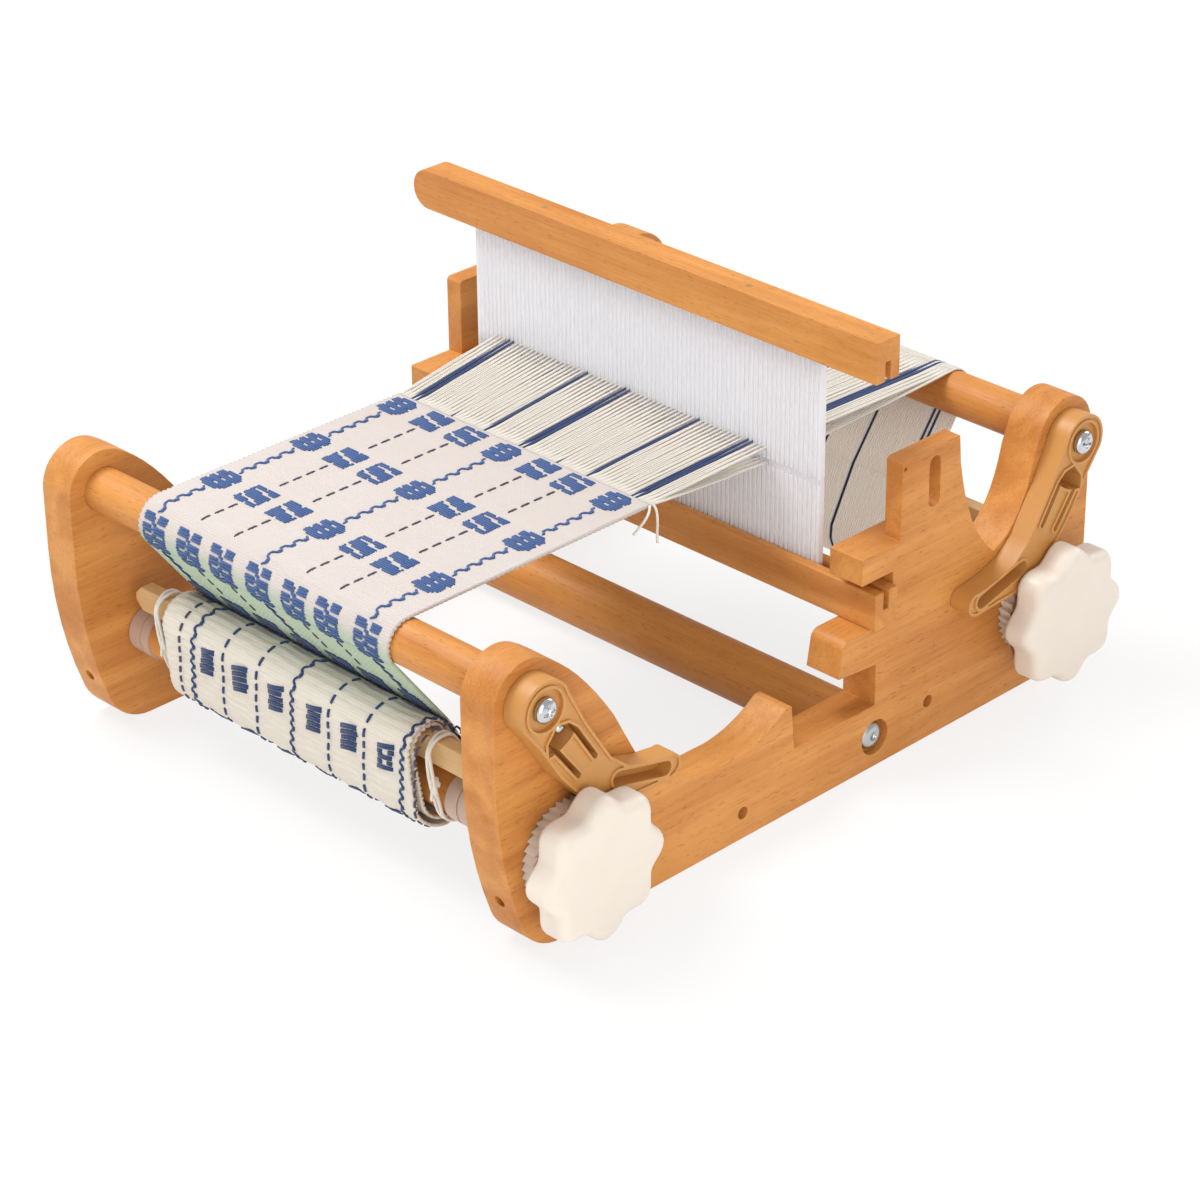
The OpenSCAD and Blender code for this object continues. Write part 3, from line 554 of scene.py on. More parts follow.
# In a CAD mesh: corners this close are one, faces this flat are joined, and edges this sharp can be eased
DOUBLES = 2e-6
FLAT_ANGLE = math.radians(0.6)
SHARP_ANGLE = math.radians(30)


def dress(node, material, big=0.0, small=0.0, big_from=0.03, smooth=40, cap=False):
    """A clean copy of a CAD node: doubles merged, flat faces joined and edges eased, with its finish."""
    source = bpy.data.objects[node]
    build = bmesh.new()
    build.from_mesh(source.data)
    bmesh.ops.remove_doubles(build, verts=build.verts, dist=DOUBLES)
    bmesh.ops.dissolve_limit(build, angle_limit=FLAT_ANGLE, verts=build.verts, edges=build.edges)
    if cap:
        new_cap(build)
    corners = [edge for edge in build.edges if edge.is_manifold and edge.calc_face_angle(0) > SHARP_ANGLE]
    groups = [(reach_of(group) >= big_from, group) for group in joined_edges(corners)]
    for is_big, offset in ((True, big), (False, small)):
        chosen = [edge for flag, group in groups if flag == is_big for edge in group if edge.is_valid]
        if offset and chosen:
            bmesh.ops.bevel(
                build, geom=chosen, offset=offset, offset_type="OFFSET", segments=3, profile=0.5,
                affect="EDGES", clamp_overlap=True, material=-1,
            )
    bmesh.ops.triangulate(build, faces=[face for face in build.faces if len(face.verts) > 4])
    made = to_object(build, f"{node}_piece", material, smooth)
    made.modifiers.new("even_faces", "WEIGHTED_NORMAL").keep_sharp = True
    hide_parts(node)
    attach(made, source.parent.name.removeprefix("body:"))


class Line:
    """The side view of a sheet: points (y, z) along its face, with the direction out of the face."""

    def __init__(self, points):
        self.points = [Vector(p) for p in points]
        self.reach = reaches(self.points)
        self.out = []
        for i in range(len(points)):
            ahead = self.points[min(i + 1, len(points) - 1)] - self.points[max(i - 1, 0)]
            ahead.normalize()
            self.out.append(Vector((ahead[1], -ahead[0])))

    @property
    def length(self):
        return self.reach[-1]

    def at(self, distance, lift):
        i = 0
        while i < len(self.reach) - 2 and self.reach[i + 1] < distance:
            i += 1
        part = (distance - self.reach[i]) / (self.reach[i + 1] - self.reach[i])
        held = min(max(part, 0.0), 1.0)
        return self.points[i].lerp(self.points[i + 1], part) + self.out[i].lerp(self.out[i + 1], held) * lift


def reaches(points):
    """How far along a row of points each one lies."""
    found = [0.0]
    for a, b in zip(points, points[1:]):
        found.append(found[-1] + (b - a).length)
    return found


def polar(radius, angle):
    return Vector((radius * math.cos(angle), radius * math.sin(angle)))


def flat_point(point):
    """A point's place in the side view."""
    return Vector((point[1], point[2]))


def side_point(point, rear=False):
    """A side view point as a place in the frame; the rear half is drawn as the front's mirror."""
    return (0.0, -point[0] if rear else point[0], point[1])


def roll_reach(turns, thick, gap):
    """Radius round the stick of the last turn's inner face where the sheet comes in."""
    return STICK_R + CLEAR + (turns - 0.5) * (thick + gap) + thick + CLEAR


def leave_angle(reach):
    """Direction from the beam in which a sheet leaves it for the roll."""
    way = flat_point(STICK) - flat_point(BEAM)
    return math.atan2(way[1], way[0]) - math.acos((BEAM_R + CLEAR + reach) / way.length) + 2 * math.pi


def arc(centre, radius, start, end, steps):
    return [flat_point(centre) + polar(radius, start + (end - start) * i / steps) for i in range(steps + 1)]


def wound_line(turns_held, turns, thick, gap, slack):
    """The face of a sheet from where it comes onto the roll, inwards; its outer turns hang slack."""
    low, high = flat_point(ROLLER), flat_point(STICK)
    lean = math.atan2(high[1] - low[1], high[0] - low[0])
    grow = STICK_R + CLEAR
    wide = math.acos((ROLLER_R + CLEAR - grow) / (high - low).length)
    half = 18
    stations = [(high, grow, lean + wide - 2 * wide * i / half) for i in range(half)]
    round_low = 2 * math.pi - 2 * wide
    stations += [(low, ROLLER_R + CLEAR, lean - wide - round_low * i / (half - 1)) for i in range(half)]
    extra = roll_reach(turns_held, thick, gap) - grow
    steps = turns * 2 * half
    line = []
    for i in range(int(steps) + 1):
        centre, radius, angle = stations[(half - 1 + i) % (2 * half)]
        loose = slack * max(0.0, 1 - i / steps) * (centre == low)
        inwards = (thick + gap) * i / (2 * half)
        line.append(centre - Vector((loose, 0)) + polar(radius + loose + extra - inwards, angle))
    return line


def wrap(build, line):
    """Lays flat geometry (across, along, lift) on a line's face."""
    for corner in build.verts:
        across, along, lift = corner.co
        corner.co = (across, *line.at(along, lift))


def close_up(build):
    """Joins seams, fills the ends and turns the faces outwards."""
    bmesh.ops.remove_doubles(build, verts=build.verts, dist=1e-7)
    bmesh.ops.holes_fill(build, edges=[edge for edge in build.edges if edge.is_boundary], sides=0)
    bmesh.ops.recalc_face_normals(build, faces=build.faces)


def flat_map(build):
    return build.loops.layers.uv.get("flat") or build.loops.layers.uv.new("flat")


def lay_tube(build, points, half_axes, sides=6):
    """A tube along points, with its map along and round it; half_axes gives its cross-section at a point."""
    uv = flat_map(build)
    spots = [Vector(p) for p in points]
    last = len(spots) - 1
    verts = bmesh.ops.create_grid(build, x_segments=last, y_segments=sides, size=0.5)["verts"]
    along = reaches(spots)
    kept = {corner: (round((corner.co.x + 0.5) * last), corner.co.y + 0.5) for corner in verts}
    for face in {face for corner in verts for face in corner.link_faces}:
        for loop in face.loops:
            i, turn = kept[loop.vert]
            loop[uv].uv = (along[i], turn)
    for corner, (i, turn) in kept.items():
        beside, over = half_axes(i, spots[min(i + 1, last)] - spots[max(i - 1, 0)])
        angle = turn * 2 * math.pi
        corner.co = spots[i] + beside * math.cos(angle) + over * math.sin(angle)


def lay_yarn(build, points, radius, flat=1.0, ends=(0.3, 0.85)):
    """A yarn along flat points (across, along, lift), thinner at its ends."""

    def half_axes(i, ahead):
        near_end = min(i, len(points) - 1 - i)
        girth = radius * (ends[near_end] if near_end < len(ends) else 1.0)
        beside = Vector((-ahead.y, ahead.x, 0)).normalized()
        return beside * girth, Vector((0, 0, girth * flat))

    lay_tube(build, points, half_axes)


def strand_piece(name, strands, radius, material):
    """Many like threads as one mesh, each a closed tube with its own map along it."""

    def half_axes(i, ahead):
        ahead = ahead.normalized()
        beside = (Vector((1, 0, 0)) - ahead * ahead.x).normalized()
        return beside * radius, ahead.cross(beside) * radius

    build = bmesh.new()
    for strand in strands:
        lay_tube(build, strand, half_axes)
    close_up(build)
    return to_object(build, name, material)


def cord_piece(name, routes, radius, material):
    """Round cords along smooth routes (points, closed or not), as one mesh."""
    data = bpy.data.curves.new(name, "CURVE")
    data.dimensions, data.resolution_u = "3D", 5
    data.bevel_depth, data.bevel_resolution, data.use_fill_caps = radius, 2, True
    for route, is_closed in routes:
        spline = data.splines.new("BEZIER")
        spline.bezier_points.add(len(route) - 1)
        for point, spot in zip(spline.bezier_points, route):
            point.co = spot
            point.handle_left_type = point.handle_right_type = "AUTO"
        spline.use_cyclic_u = is_closed
    curve = bpy.data.objects.new(name + "_route", data)
    bpy.context.scene.collection.objects.link(curve)
    bpy.context.view_layer.update()
    mesh = bpy.data.meshes.new_from_object(curve.evaluated_get(bpy.context.evaluated_depsgraph_get()))
    build = bmesh.new()
    build.from_mesh(mesh)
    bpy.data.objects.remove(curve)
    bpy.data.curves.remove(data)
    bpy.data.meshes.remove(mesh)
    bmesh.ops.remove_doubles(build, verts=build.verts, dist=1e-7)
    bmesh.ops.recalc_face_normals(build, faces=build.faces)
    old = build.loops.layers.uv.active
    uv = flat_map(build)
    for face in build.faces:
        for loop in face.loops:
            place = loop.vert.co
            loop[uv].uv = (place.z + place.y, loop[old].uv.y if old else 0.0)
    return to_object(build, name, material)


def sheet_build(length, sizes):
    """The flat woven cloth (across, along, lift) with its crossings up and down, and its own map."""
    build = bmesh.new()
    threads, rows = sizes.threads, max(2, round(length / sizes.pick))
    edge_step = 0.35 * MM
    for lift in (0.0, 2 * sizes.weave - sizes.cloth):
        made = bmesh.ops.create_grid(build, x_segments=threads, y_segments=rows, size=0.5)["verts"]
        for corner in made:
            i, j = round((corner.co.x + 0.5) * threads), round((corner.co.y + 0.5) * rows)
            sign = 1 if (i + j) % 2 else -1
            rim = {0: -edge_step, threads: edge_step}.get(i, 0.0) * sign
            across = CLOTH_LEFT + (CLOTH_RIGHT - CLOTH_LEFT) * i / threads + rim
            corner.co = (across, length * j / rows, lift + sign * sizes.weave)
    bmesh.ops.bridge_loops(build, edges=[edge for edge in build.edges if edge.is_boundary])
    uv = flat_map(build)
    for face in build.faces:
        for loop in face.loops:
            loop[uv].uv = (loop.vert.co.x - CLOTH_LEFT, loop.vert.co.y)
    return build


def lines():
    """The lines of cloth and warp, each over its beam, down its fall and round its roll."""
    sizes = bpy.context.scene.loom_sizes
    found = {}
    for name, start_y, turns_held, thick, turns, slack in (
        ("cloth", FELL, 2, sizes.cloth, sizes.cloth_turns, sizes.slack),
        ("warp", -REED_Y, 3, sizes.warp, sizes.warp_turns, 0.0),
    ):
        reach = roll_reach(turns_held, thick, sizes.turn_gap)
        leave = leave_angle(reach + thick)
        lift = BEAM_R + CLEAR + thick
        over = [Vector((start_y, flat_point(BEAM)[1] + lift))] + arc(BEAM, lift, math.pi / 2, leave, 22)
        foot = flat_point(STICK) - polar(reach, leave)
        found[name] = {
            "over": Line(over),
            "fall": Line([over[-1], over[-1].lerp(foot, 0.34), over[-1].lerp(foot, 0.67), foot]),
            "roll": Line(wound_line(turns_held, turns, thick, sizes.turn_gap, slack)),
        }
    return found


# The pattern: motif columns and rows in millimetres from the cloth's left edge and from the fell, the width
# of a draft's cell, and half the space that a motif takes along the cloth
COLUMNS = [9.6, 30.9, 51.3, 73.5, 95.0, 114.6, 137.4]
ROWS = [9.5, 57.8, 106.1, 150.0, 194.0, 242.3]
BEAM_ROW = 3
CELL = 1.38
MOTIF_ROOM, BEAM_MOTIF_ROOM = 8.3, 10

# Drafts of the motifs, one row of cells for each weft pick; an x is a cell of navy yarn
TWO_BLOCKS = """
xxxxx.xxxx xxxxxxxxxx xxxxxxxxxx xxxxxxxxxx ...xxxxxxx x......xxx xxxx...... xxxxxxxx.x xxxxxxxxxx xxxxxxxxxx
xxxxxxxxxx xxxx.xxxxx
""".split()
THREE_BLOCKS = """
xxxx.xxxxx xxxxxxxxxx x......xxx xxxxx..... xxxxxxxxxx xxxxxxxxxx xxxxxxxxxx ..xxxxxxxx x......xxx xxxxx....x
xxxxxxxxxx .xxxx.xxxx
""".split()
DOTTED_BLOCKS = """
..xxxxxx.. xxxxxxxxx. xxxx..xxxx xxxxxxxxxx ..xxxxxxxx xxxx..xxx. xxxxxxxxxx .xxxxxxxxx xxxx..xxxx xxxxxxxxxx
xxxxxxxxx. ..xxxxxx..
""".split()
STACKED_BLOCKS = """
xxxx..xxxx xxxxx.xxxx xxxxx.xxxx ....xx.... xxxx.xxxxx xxxxxxxxxx xxxx.xxxxx x...xx...x xxxxxxxxxx xxxx.xxxxx
xxxx..xxxx ....xx.... xxxxxxxxxx xxxx.xxxxx .xxx..xxx.
""".split()

# How thin a float's two ends are, from its tip inwards
BLUNT = (0.5, 0.95)


def lay_float(build, left, right, along, lift, radius, lean=0.0):
    """A pattern float: a plump bar of yarn across the cloth."""
    inner = min(0.22 * (right - left), 0.45 * MM)
    middle = (left + right) / 2
    spots = [left, left + inner, middle, right - inner, right]
    lifts = [0.35 * lift, lift, lift, lift, 0.35 * lift]
    points = [(x, along + lean * (x - middle), height) for x, height in zip(spots, lifts)]
    lay_yarn(build, points, radius, 0.62, BLUNT)


def lay_motif(build, draft, place, lift, reach, sizes, draws):
    """Lays a draft's runs of cells as floats round a place, as far as they lie between two distances."""
    wide, (low, high) = len(draft[0]), reach
    for row, cells in enumerate(draft):
        along = place[1] + (row - (len(draft) - 1) / 2) * sizes.pick
        if not low < along < high:
            continue
        column = 0
        while column < wide:
            run = column
            while run < wide and cells[run] == "x":
                run += 1
            if run > column:
                cells_off = ((end - wide / 2) * CELL + draws.uniform(-0.28, 0.28) for end in (column, run))
                left, right = (place[0] + off * MM for off in cells_off)
                lay_float(build, left, right, along, lift, sizes.float_yarn / 2)
            column = max(run, column + 1)


def lay_dashes(build, x, low, high, lift, pitch, dash, radius):
    """Short dark stitches in a row along the cloth."""
    along = low
    shape = ((0, 0.3), (0.15, 1), (0.5, 1), (0.85, 1), (1, 0.3))
    while along + dash < high:
        points = [(x, along + dash * part, lift * height) for part, height in shape]
        lay_yarn(build, points, radius, 0.7, BLUNT)
        along += pitch


def lay_wave(build, x, low, high, lift, period, swing, radius):
    """A stepped line of yarn along the cloth: a thick stitch on one side, a thin one on the other."""
    steps = max(6, round((high - low) / (0.6 * MM)))
    points = []
    for i in range(steps + 1):
        along = low + (high - low) * i / steps
        turn = math.sin(2 * math.pi * along / period)
        square = math.copysign(abs(turn) ** 0.45, turn)
        points.append((x + swing * square, along, lift + 0.12 * MM * math.cos(4 * math.pi * along / period)))
    lay_yarn(build, points, radius * 0.8, 0.7)
    along = (math.ceil(low / period) + 0.05) * period
    shape = ((0, 0.75), (0.2, 1.05), (0.5, 1.05), (0.8, 1.05), (1, 0.75))
    while along + 0.45 * period < high:
        stitch = [(x + swing * off, along + 0.4 * period * part, lift) for part, off in shape]
        lay_yarn(build, stitch, radius * 1.25, 0.75, BLUNT)
        along += period


def draft_at(column, row):
    """Which draft a column of motifs has in a row."""
    if row == BEAM_ROW:
        return STACKED_BLOCKS
    if column % 3 == 0:
        return DOTTED_BLOCKS
    return TWO_BLOCKS if (column % 3 == 1) != (row == 2) else THREE_BLOCKS


def cloth_pattern(low, high):
    """The navy pattern between two distances from the fell, measured from the piece's own start."""
    sizes = bpy.context.scene.loom_sizes
    navy, dark = bmesh.new(), bmesh.new()
    draws = random.Random(7)
    for column, x in enumerate(COLUMNS):
        x = CLOTH_LEFT + x * MM
        for row in range(-1, len(ROWS) - 1):
            middle = (ROWS[row] if row >= 0 else 2 * ROWS[0] - ROWS[1]) * MM
            if row >= 0:
                lay_motif(navy, draft_at(column, row), (x, middle), ON_FACE, (low, high), sizes, draws)
            room, next_room = (BEAM_MOTIF_ROOM if at == BEAM_ROW else MOTIF_ROOM for at in (row, row + 1))
            start, end = max(middle + room * MM, low), min((ROWS[row + 1] - next_room) * MM, high)
            if end - start < 5 * MM:
                continue
            if column % 3 == 0:
                lay_wave(navy, x, start, end, ON_FACE, 6.8 * MM, 1.05 * MM, 0.68 * MM)
            else:
                lay_dashes(dark, x, start + 1.2 * MM, end, ON_FACE, 7.1 * MM, 4.9 * MM, 0.47 * MM)
    for build in (navy, dark):
        bmesh.ops.translate(build, verts=build.verts, vec=(0, -low, 0))
    return navy, dark


def roll_pattern(line):
    """The back of the cloth shows on the roll: blocks of thick bars between lines that run round it."""
    navy, dark = bmesh.new(), bmesh.new()
    draws = random.Random(11)
    lift = -bpy.context.scene.loom_sizes.cloth - ON_FACE
    shown = 0.62 * line.length
    middle = 0.36 * shown
    block_step, bar_step, lane, lean, skew = 34, 2.7, 0.52, 0.2, 0.16
    centres = (-68.6, -48.0, -26.2, -2.8, 18.2, 39.5)
    for x in centres:
        for step in range(-1, 3):
            for bar in range(-2, 3):
                along = middle + (step * block_step + bar * bar_step) * MM
                if not 3 * MM < along < shown:
                    continue
                half = (4.6 + draws.uniform(-0.4, 0.4)) * MM
                place = (x + draws.uniform(-0.4, 0.4)) * MM
                split = x == centres[-1] and bar in (-1, 1)
                for left, right in [(-half, -1.3 * MM), (1.3 * MM, half)] if split else [(-half, half)]:
                    for side in (-lane, lane):
                        reach = along + side * MM + lean * (left + right) / 2
                        lay_float(navy, place + left, place + right, reach, lift, 0.66 * MM, lean)
    start = 0.5 * MM
    for x in (-77.9, -16.1, 49.1):
        lay_wave(navy, x * MM, start, shown, lift, 5 * MM, 0.8 * MM, 0.75 * MM)
    for x in (-59.0, -37.7, 5.8, 27.3):
        lay_dashes(navy, x * MM, start, shown, lift, 5.6 * MM, 4.3 * MM, 0.72 * MM)
    for x in (-86.5, 56.6):
        lay_dashes(dark, x * MM, start, shown, lift, 5.2 * MM, 3.9 * MM, 0.7 * MM)
    for build in (navy, dark):
        for corner in build.verts:
            corner.co.x += skew * (corner.co.y - middle)
    return navy, dark


# Operators


class LOOM_OT_camera(bpy.types.Operator):
    """Set the camera at the view's angle"""

    bl_idname = "loom.camera"
    bl_label = "Camera"

    def execute(self, context):
        view = context.scene.loom_view
        turn, tilt = view.azimuth, view.elevation
        back = Vector((math.sin(turn) * math.cos(tilt), -math.cos(turn) * math.cos(tilt), math.sin(tilt)))
        right = Vector((math.cos(turn), math.sin(turn), 0))
        up = back.cross(right)
        rolled_right = right * math.cos(view.roll) + up * math.sin(view.roll)
        rolled_up = up * math.cos(view.roll) - right * math.sin(view.roll)
        data = bpy.data.cameras.new("loom_camera")
        data.sensor_width, data.lens = 36.0, view.lens
        data.clip_start, data.clip_end = 0.05, 20
        camera = bpy.data.objects.new("loom_camera", data)
        context.scene.collection.objects.link(camera)
        turned = Matrix((rolled_right, rolled_up, back)).transposed().to_4x4()
        camera.matrix_world = Matrix.Translation(Vector(view.target) + back * view.distance) @ turned
        context.scene.camera = camera
        return {"FINISHED"}


# Half the floor's width, in metres
FLOOR_HALF = 6


class LOOM_OT_stage(bpy.types.Operator):
    """Lay the pale floor with its backdrop and set the soft lamps"""

    bl_idname = "loom.stage"
    bl_label = "Floor and lamps"

    # The point that the lamps look at, and each lamp's place, width and power
    lit = Vector((0, 0, 0.08))
    lamps = {
        "key": ((-0.75, -0.45, 1.6), 1.0, 26.0),
        "side": ((1.6, -0.9, 0.9), 1.4, 7.0),
        "rear": ((0.2, 1.7, 1.1), 1.2, 12.0),
        "low": ((1.1, -0.7, 0.28), 0.6, 3.0),
    }

    def execute(self, context):
        build = bmesh.new()
        bmesh.ops.create_grid(build, x_segments=2, y_segments=2, size=FLOOR_HALF)
        to_object(build, "floor", self.floor_finish(context.scene.loom_colours.floor))
        self.light_room(context.scene)
        for name, (spot, wide, power) in self.lamps.items():
            lamp = bpy.data.lights.new(name, "AREA")
            lamp.shape, lamp.size, lamp.energy = "DISK", wide, power
            made = bpy.data.objects.new(name, lamp)
            context.scene.collection.objects.link(made)
            aim = (self.lit - Vector(spot)).to_track_quat("-Z", "Y")
            made.matrix_world = Matrix.Translation(Vector(spot)) @ aim.to_matrix().to_4x4()
        context.scene.view_settings.view_transform = "Standard"
        return {"FINISHED"}

    def seen(self, nodes, *rays):
        """Whether one of the named kinds of ray looks."""
        found = nodes.add("ShaderNodeLightPath").outputs
        share = found[rays[0]]
        for ray in rays[1:]:
            share = nodes.maths("MAXIMUM", share, found[ray])
        return share

    def floor_finish(self, colour):
        """White to the eye, and a plain pale floor to the light."""
        material = bpy.data.materials.new("floor")
        material.use_nodes = True
        material.node_tree.nodes.clear()
        nodes = Nodes(material.node_tree)
        place = nodes.add("ShaderNodeTexCoord").outputs["Object"]
        tone = nodes.between(nodes.noise(place, 3), 0.3, 0.7, 0.0, 0.15)
        paint = nodes.add("ShaderNodeBsdfDiffuse", {"Color": nodes.mixed(tone, colour, darker(colour, 0.97))})
        glow = nodes.add("ShaderNodeEmission", {"Color": (1, 1, 1), "Strength": 1.0})
        share = nodes.times(self.seen(nodes, "Is Camera Ray", "Is Glossy Ray", "Is Transmission Ray"), 0.8)
        both = nodes.add("ShaderNodeMixShader", {0: share, 1: paint.outputs[0], 2: glow.outputs[0]})
        nodes.add("ShaderNodeOutputMaterial", {"Surface": both.outputs[0]})
        return material

    def light_room(self, scene):
        """A soft room light behind a white backdrop."""
        scene.world = bpy.data.worlds.new("soft_room")
        scene.world.use_nodes = True
        scene.world.node_tree.nodes.clear()
        nodes = Nodes(scene.world.node_tree)
        room = nodes.add("ShaderNodeBackground", {"Color": (1.0, 0.99, 0.97), "Strength": 0.52})
        white = nodes.add("ShaderNodeBackground", {"Color": (1, 1, 1), "Strength": 1.0})
        share = self.seen(nodes, "Is Camera Ray", "Is Transmission Ray")
        both = nodes.add("ShaderNodeMixShader", {0: share, 1: room.outputs[0], 2: white.outputs[0]})
        nodes.add("ShaderNodeOutputWorld", {"Surface": both.outputs[0]})


class LOOM_OT_wood(bpy.types.Operator):
    """Dress the panels, beams, brace, rollers, sticks and rails in wood with eased edges"""

    bl_idname = "loom.wood"
    bl_label = "Wooden parts"

    def execute(self, context):
        sizes, colours = context.scene.loom_sizes, context.scene.loom_colours
        for piece, node in enumerate(("left_side", "right_side")):
            dress(node, beech("y", piece), sizes.edge, sizes.small_edge, 0.06)
        rails = ("heddle_top_rail", "heddle_bottom_rail")
        rods = ("front_beam", "back_beam", "brace", "cloth_roller", "warp_roller")
        for piece, node in enumerate(rails + rods):
            dress(node, beech("x", piece), sizes.edge * 0.8 if node in rails else 0.0, 0.0, 0.05)
        pale = wood_finish(
            "stick_wood_x", colours.stick_light, colours.stick_dark, ACROSS, (0.4, 0.1, 0.7), 0.35, 0.6
        )
        for node in ("cloth_stick", "warp_stick"):
            dress(node, pale, sizes.small_edge * 1.5)
        return {"FINISHED"}


class LOOM_OT_metal(bpy.types.Operator):
    """Dress the bolts, screws and pins in metal"""

    bl_idname = "loom.metal"
    bl_label = "Metal parts"

    def execute(self, context):
        colours = context.scene.loom_colours
        chrome = metal_finish("chrome_plate", colours.chrome, 0.1)
        for node in ("beam_screws", "front_pawl_screw", "rear_pawl_screw", "front_pawl_pin", "rear_pawl_pin"):
            dress(node, chrome, smooth=35)
        dress("brace_bolts", metal_finish("bolt_steel_bare", colours.steel, 0.22), smooth=35)
        dress("heddle_pins", metal_finish("brass_bare", colours.brass, 0.2), smooth=35)
        return {"FINISHED"}


class LOOM_OT_moulded(bpy.types.Operator):
    """Dress the pawls, knobs, ratchet wheels and sleeves in moulded plastic"""

    bl_idname = "loom.moulded"
    bl_label = "Moulded parts"

    def execute(self, context):
        sizes, colours = context.scene.loom_sizes, context.scene.loom_colours
        tan = moulded_finish("pawl_tan", colours.pawl, 0.38, 0.0, 0.25)
        white = moulded_finish("soft_white", colours.knob, 0.34, 0.25, 0.12)
        grey = moulded_finish("sleeve_grey", colours.sleeve, 0.4, 0.0, 0.3)
        for node in ("front_pawl", "rear_pawl"):
            dress(node, tan, sizes.small_edge * 1.3, sizes.small_edge, 0.05)
        for node in ("cloth_knob", "warp_knob"):
            dress(node, white, smooth=60, cap=True)
        for node in ("cloth_ratchet", "warp_ratchet"):
            dress(node, white, smooth=30)
        for node in ("cloth_roller_sleeves", "warp_roller_sleeves"):
            dress(node, grey)
        return {"FINISHED"}


# Which of the warp's places are navy, how far apart the places lie in the reed in millimetres, and which
# place is in the reed's middle
NAVY_THREADS = {6, 8, 27, 44, 62, 64, 81, 96, 118, 120}
REED_STEP = 1.275
MIDDLE_THREAD = 70


def thread_place(place):
    """Where a warp place goes through the reed: even ones in slots, odd ones in eyes."""
    return (REED_LOW[0] + REED_HIGH[0]) / 2 + (place - MIDDLE_THREAD) * REED_STEP * MM


class LOOM_OT_reed(bpy.types.Operator):
    """Build the reed's translucent blades with their eyes between a top and a bottom bar"""

    bl_idname = "loom.reed"
    bl_label = "Reed"

    bar = 2 * MM
    eye_width = 1.12 * MM

    def execute(self, context):
        sizes = context.scene.loom_sizes
        (left, _, low), (right, _, high) = REED_LOW, REED_HIGH
        eye_low = CLOTH_TOP - sizes.cloth / 2 - sizes.layer - sizes.reed_eye / 2
        wide = 2 * REED_STEP * MM - sizes.reed_slot
        build = bmesh.new()
        places = [thread_place(odd) for odd in range(-59, 220, 2)]
        places = [x for x in places if left + wide < x < right - wide]
        cuts_z = (low + self.bar, eye_low, eye_low + sizes.reed_eye, high - self.bar)
        for x in places:
            cuts_x = (x - wide / 2, x - self.eye_width / 2, x + self.eye_width / 2, x + wide / 2)
            self.plate(build, cuts_x, cuts_z, True)
        room = wide / 2 + sizes.reed_slot
        for start, end in ((left, places[0] - room), (places[-1] + room, right)):
            if end - start > 0.3 * MM:
                self.plate(build, (start, end), (low + self.bar, high - self.bar))
        for foot in (low, high - self.bar):
            self.plate(build, (left, right), (foot, foot + self.bar))
        bmesh.ops.recalc_face_normals(build, faces=build.faces)
        nylon = reed_finish("reed_nylon_white", context.scene.loom_colours.reed)
        piece = to_object(build, "reed_piece", nylon, 30)
        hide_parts("reed")
        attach(piece, "heddle")
        return {"FINISHED"}

    def plate(self, build, cuts_x, cuts_z, eye=False):
        """An upright plate from a grid of cuts, with its middle cell left out for an eye."""
        wide, high = len(cuts_x) - 1, len(cuts_z) - 1
        verts = bmesh.ops.create_grid(build, x_segments=wide, y_segments=high, size=0.5)["verts"]
        faces = {face for corner in verts for face in corner.link_faces}
        for corner in verts:
            i, k = round((corner.co.x + 0.5) * wide), round((corner.co.y + 0.5) * high)
            corner.co = (cuts_x[i], REED_LOW[1], cuts_z[k])
        if eye:
            middle = Vector((sum(cuts_x[1:3]) / 2, REED_LOW[1], sum(cuts_z[1:3]) / 2))
            hole = min(faces, key=lambda face: (face.calc_center_median() - middle).length)
            faces.discard(hole)
            bmesh.ops.delete(build, geom=[hole], context="FACES_ONLY")
        grown = bmesh.ops.extrude_face_region(build, geom=list(faces), use_keep_orig=True)["geom"]
        moved = [part for part in grown if isinstance(part, bmesh.types.BMVert)]
        bmesh.ops.translate(build, verts=moved, vec=(0, REED_HIGH[1] - REED_LOW[1], 0))


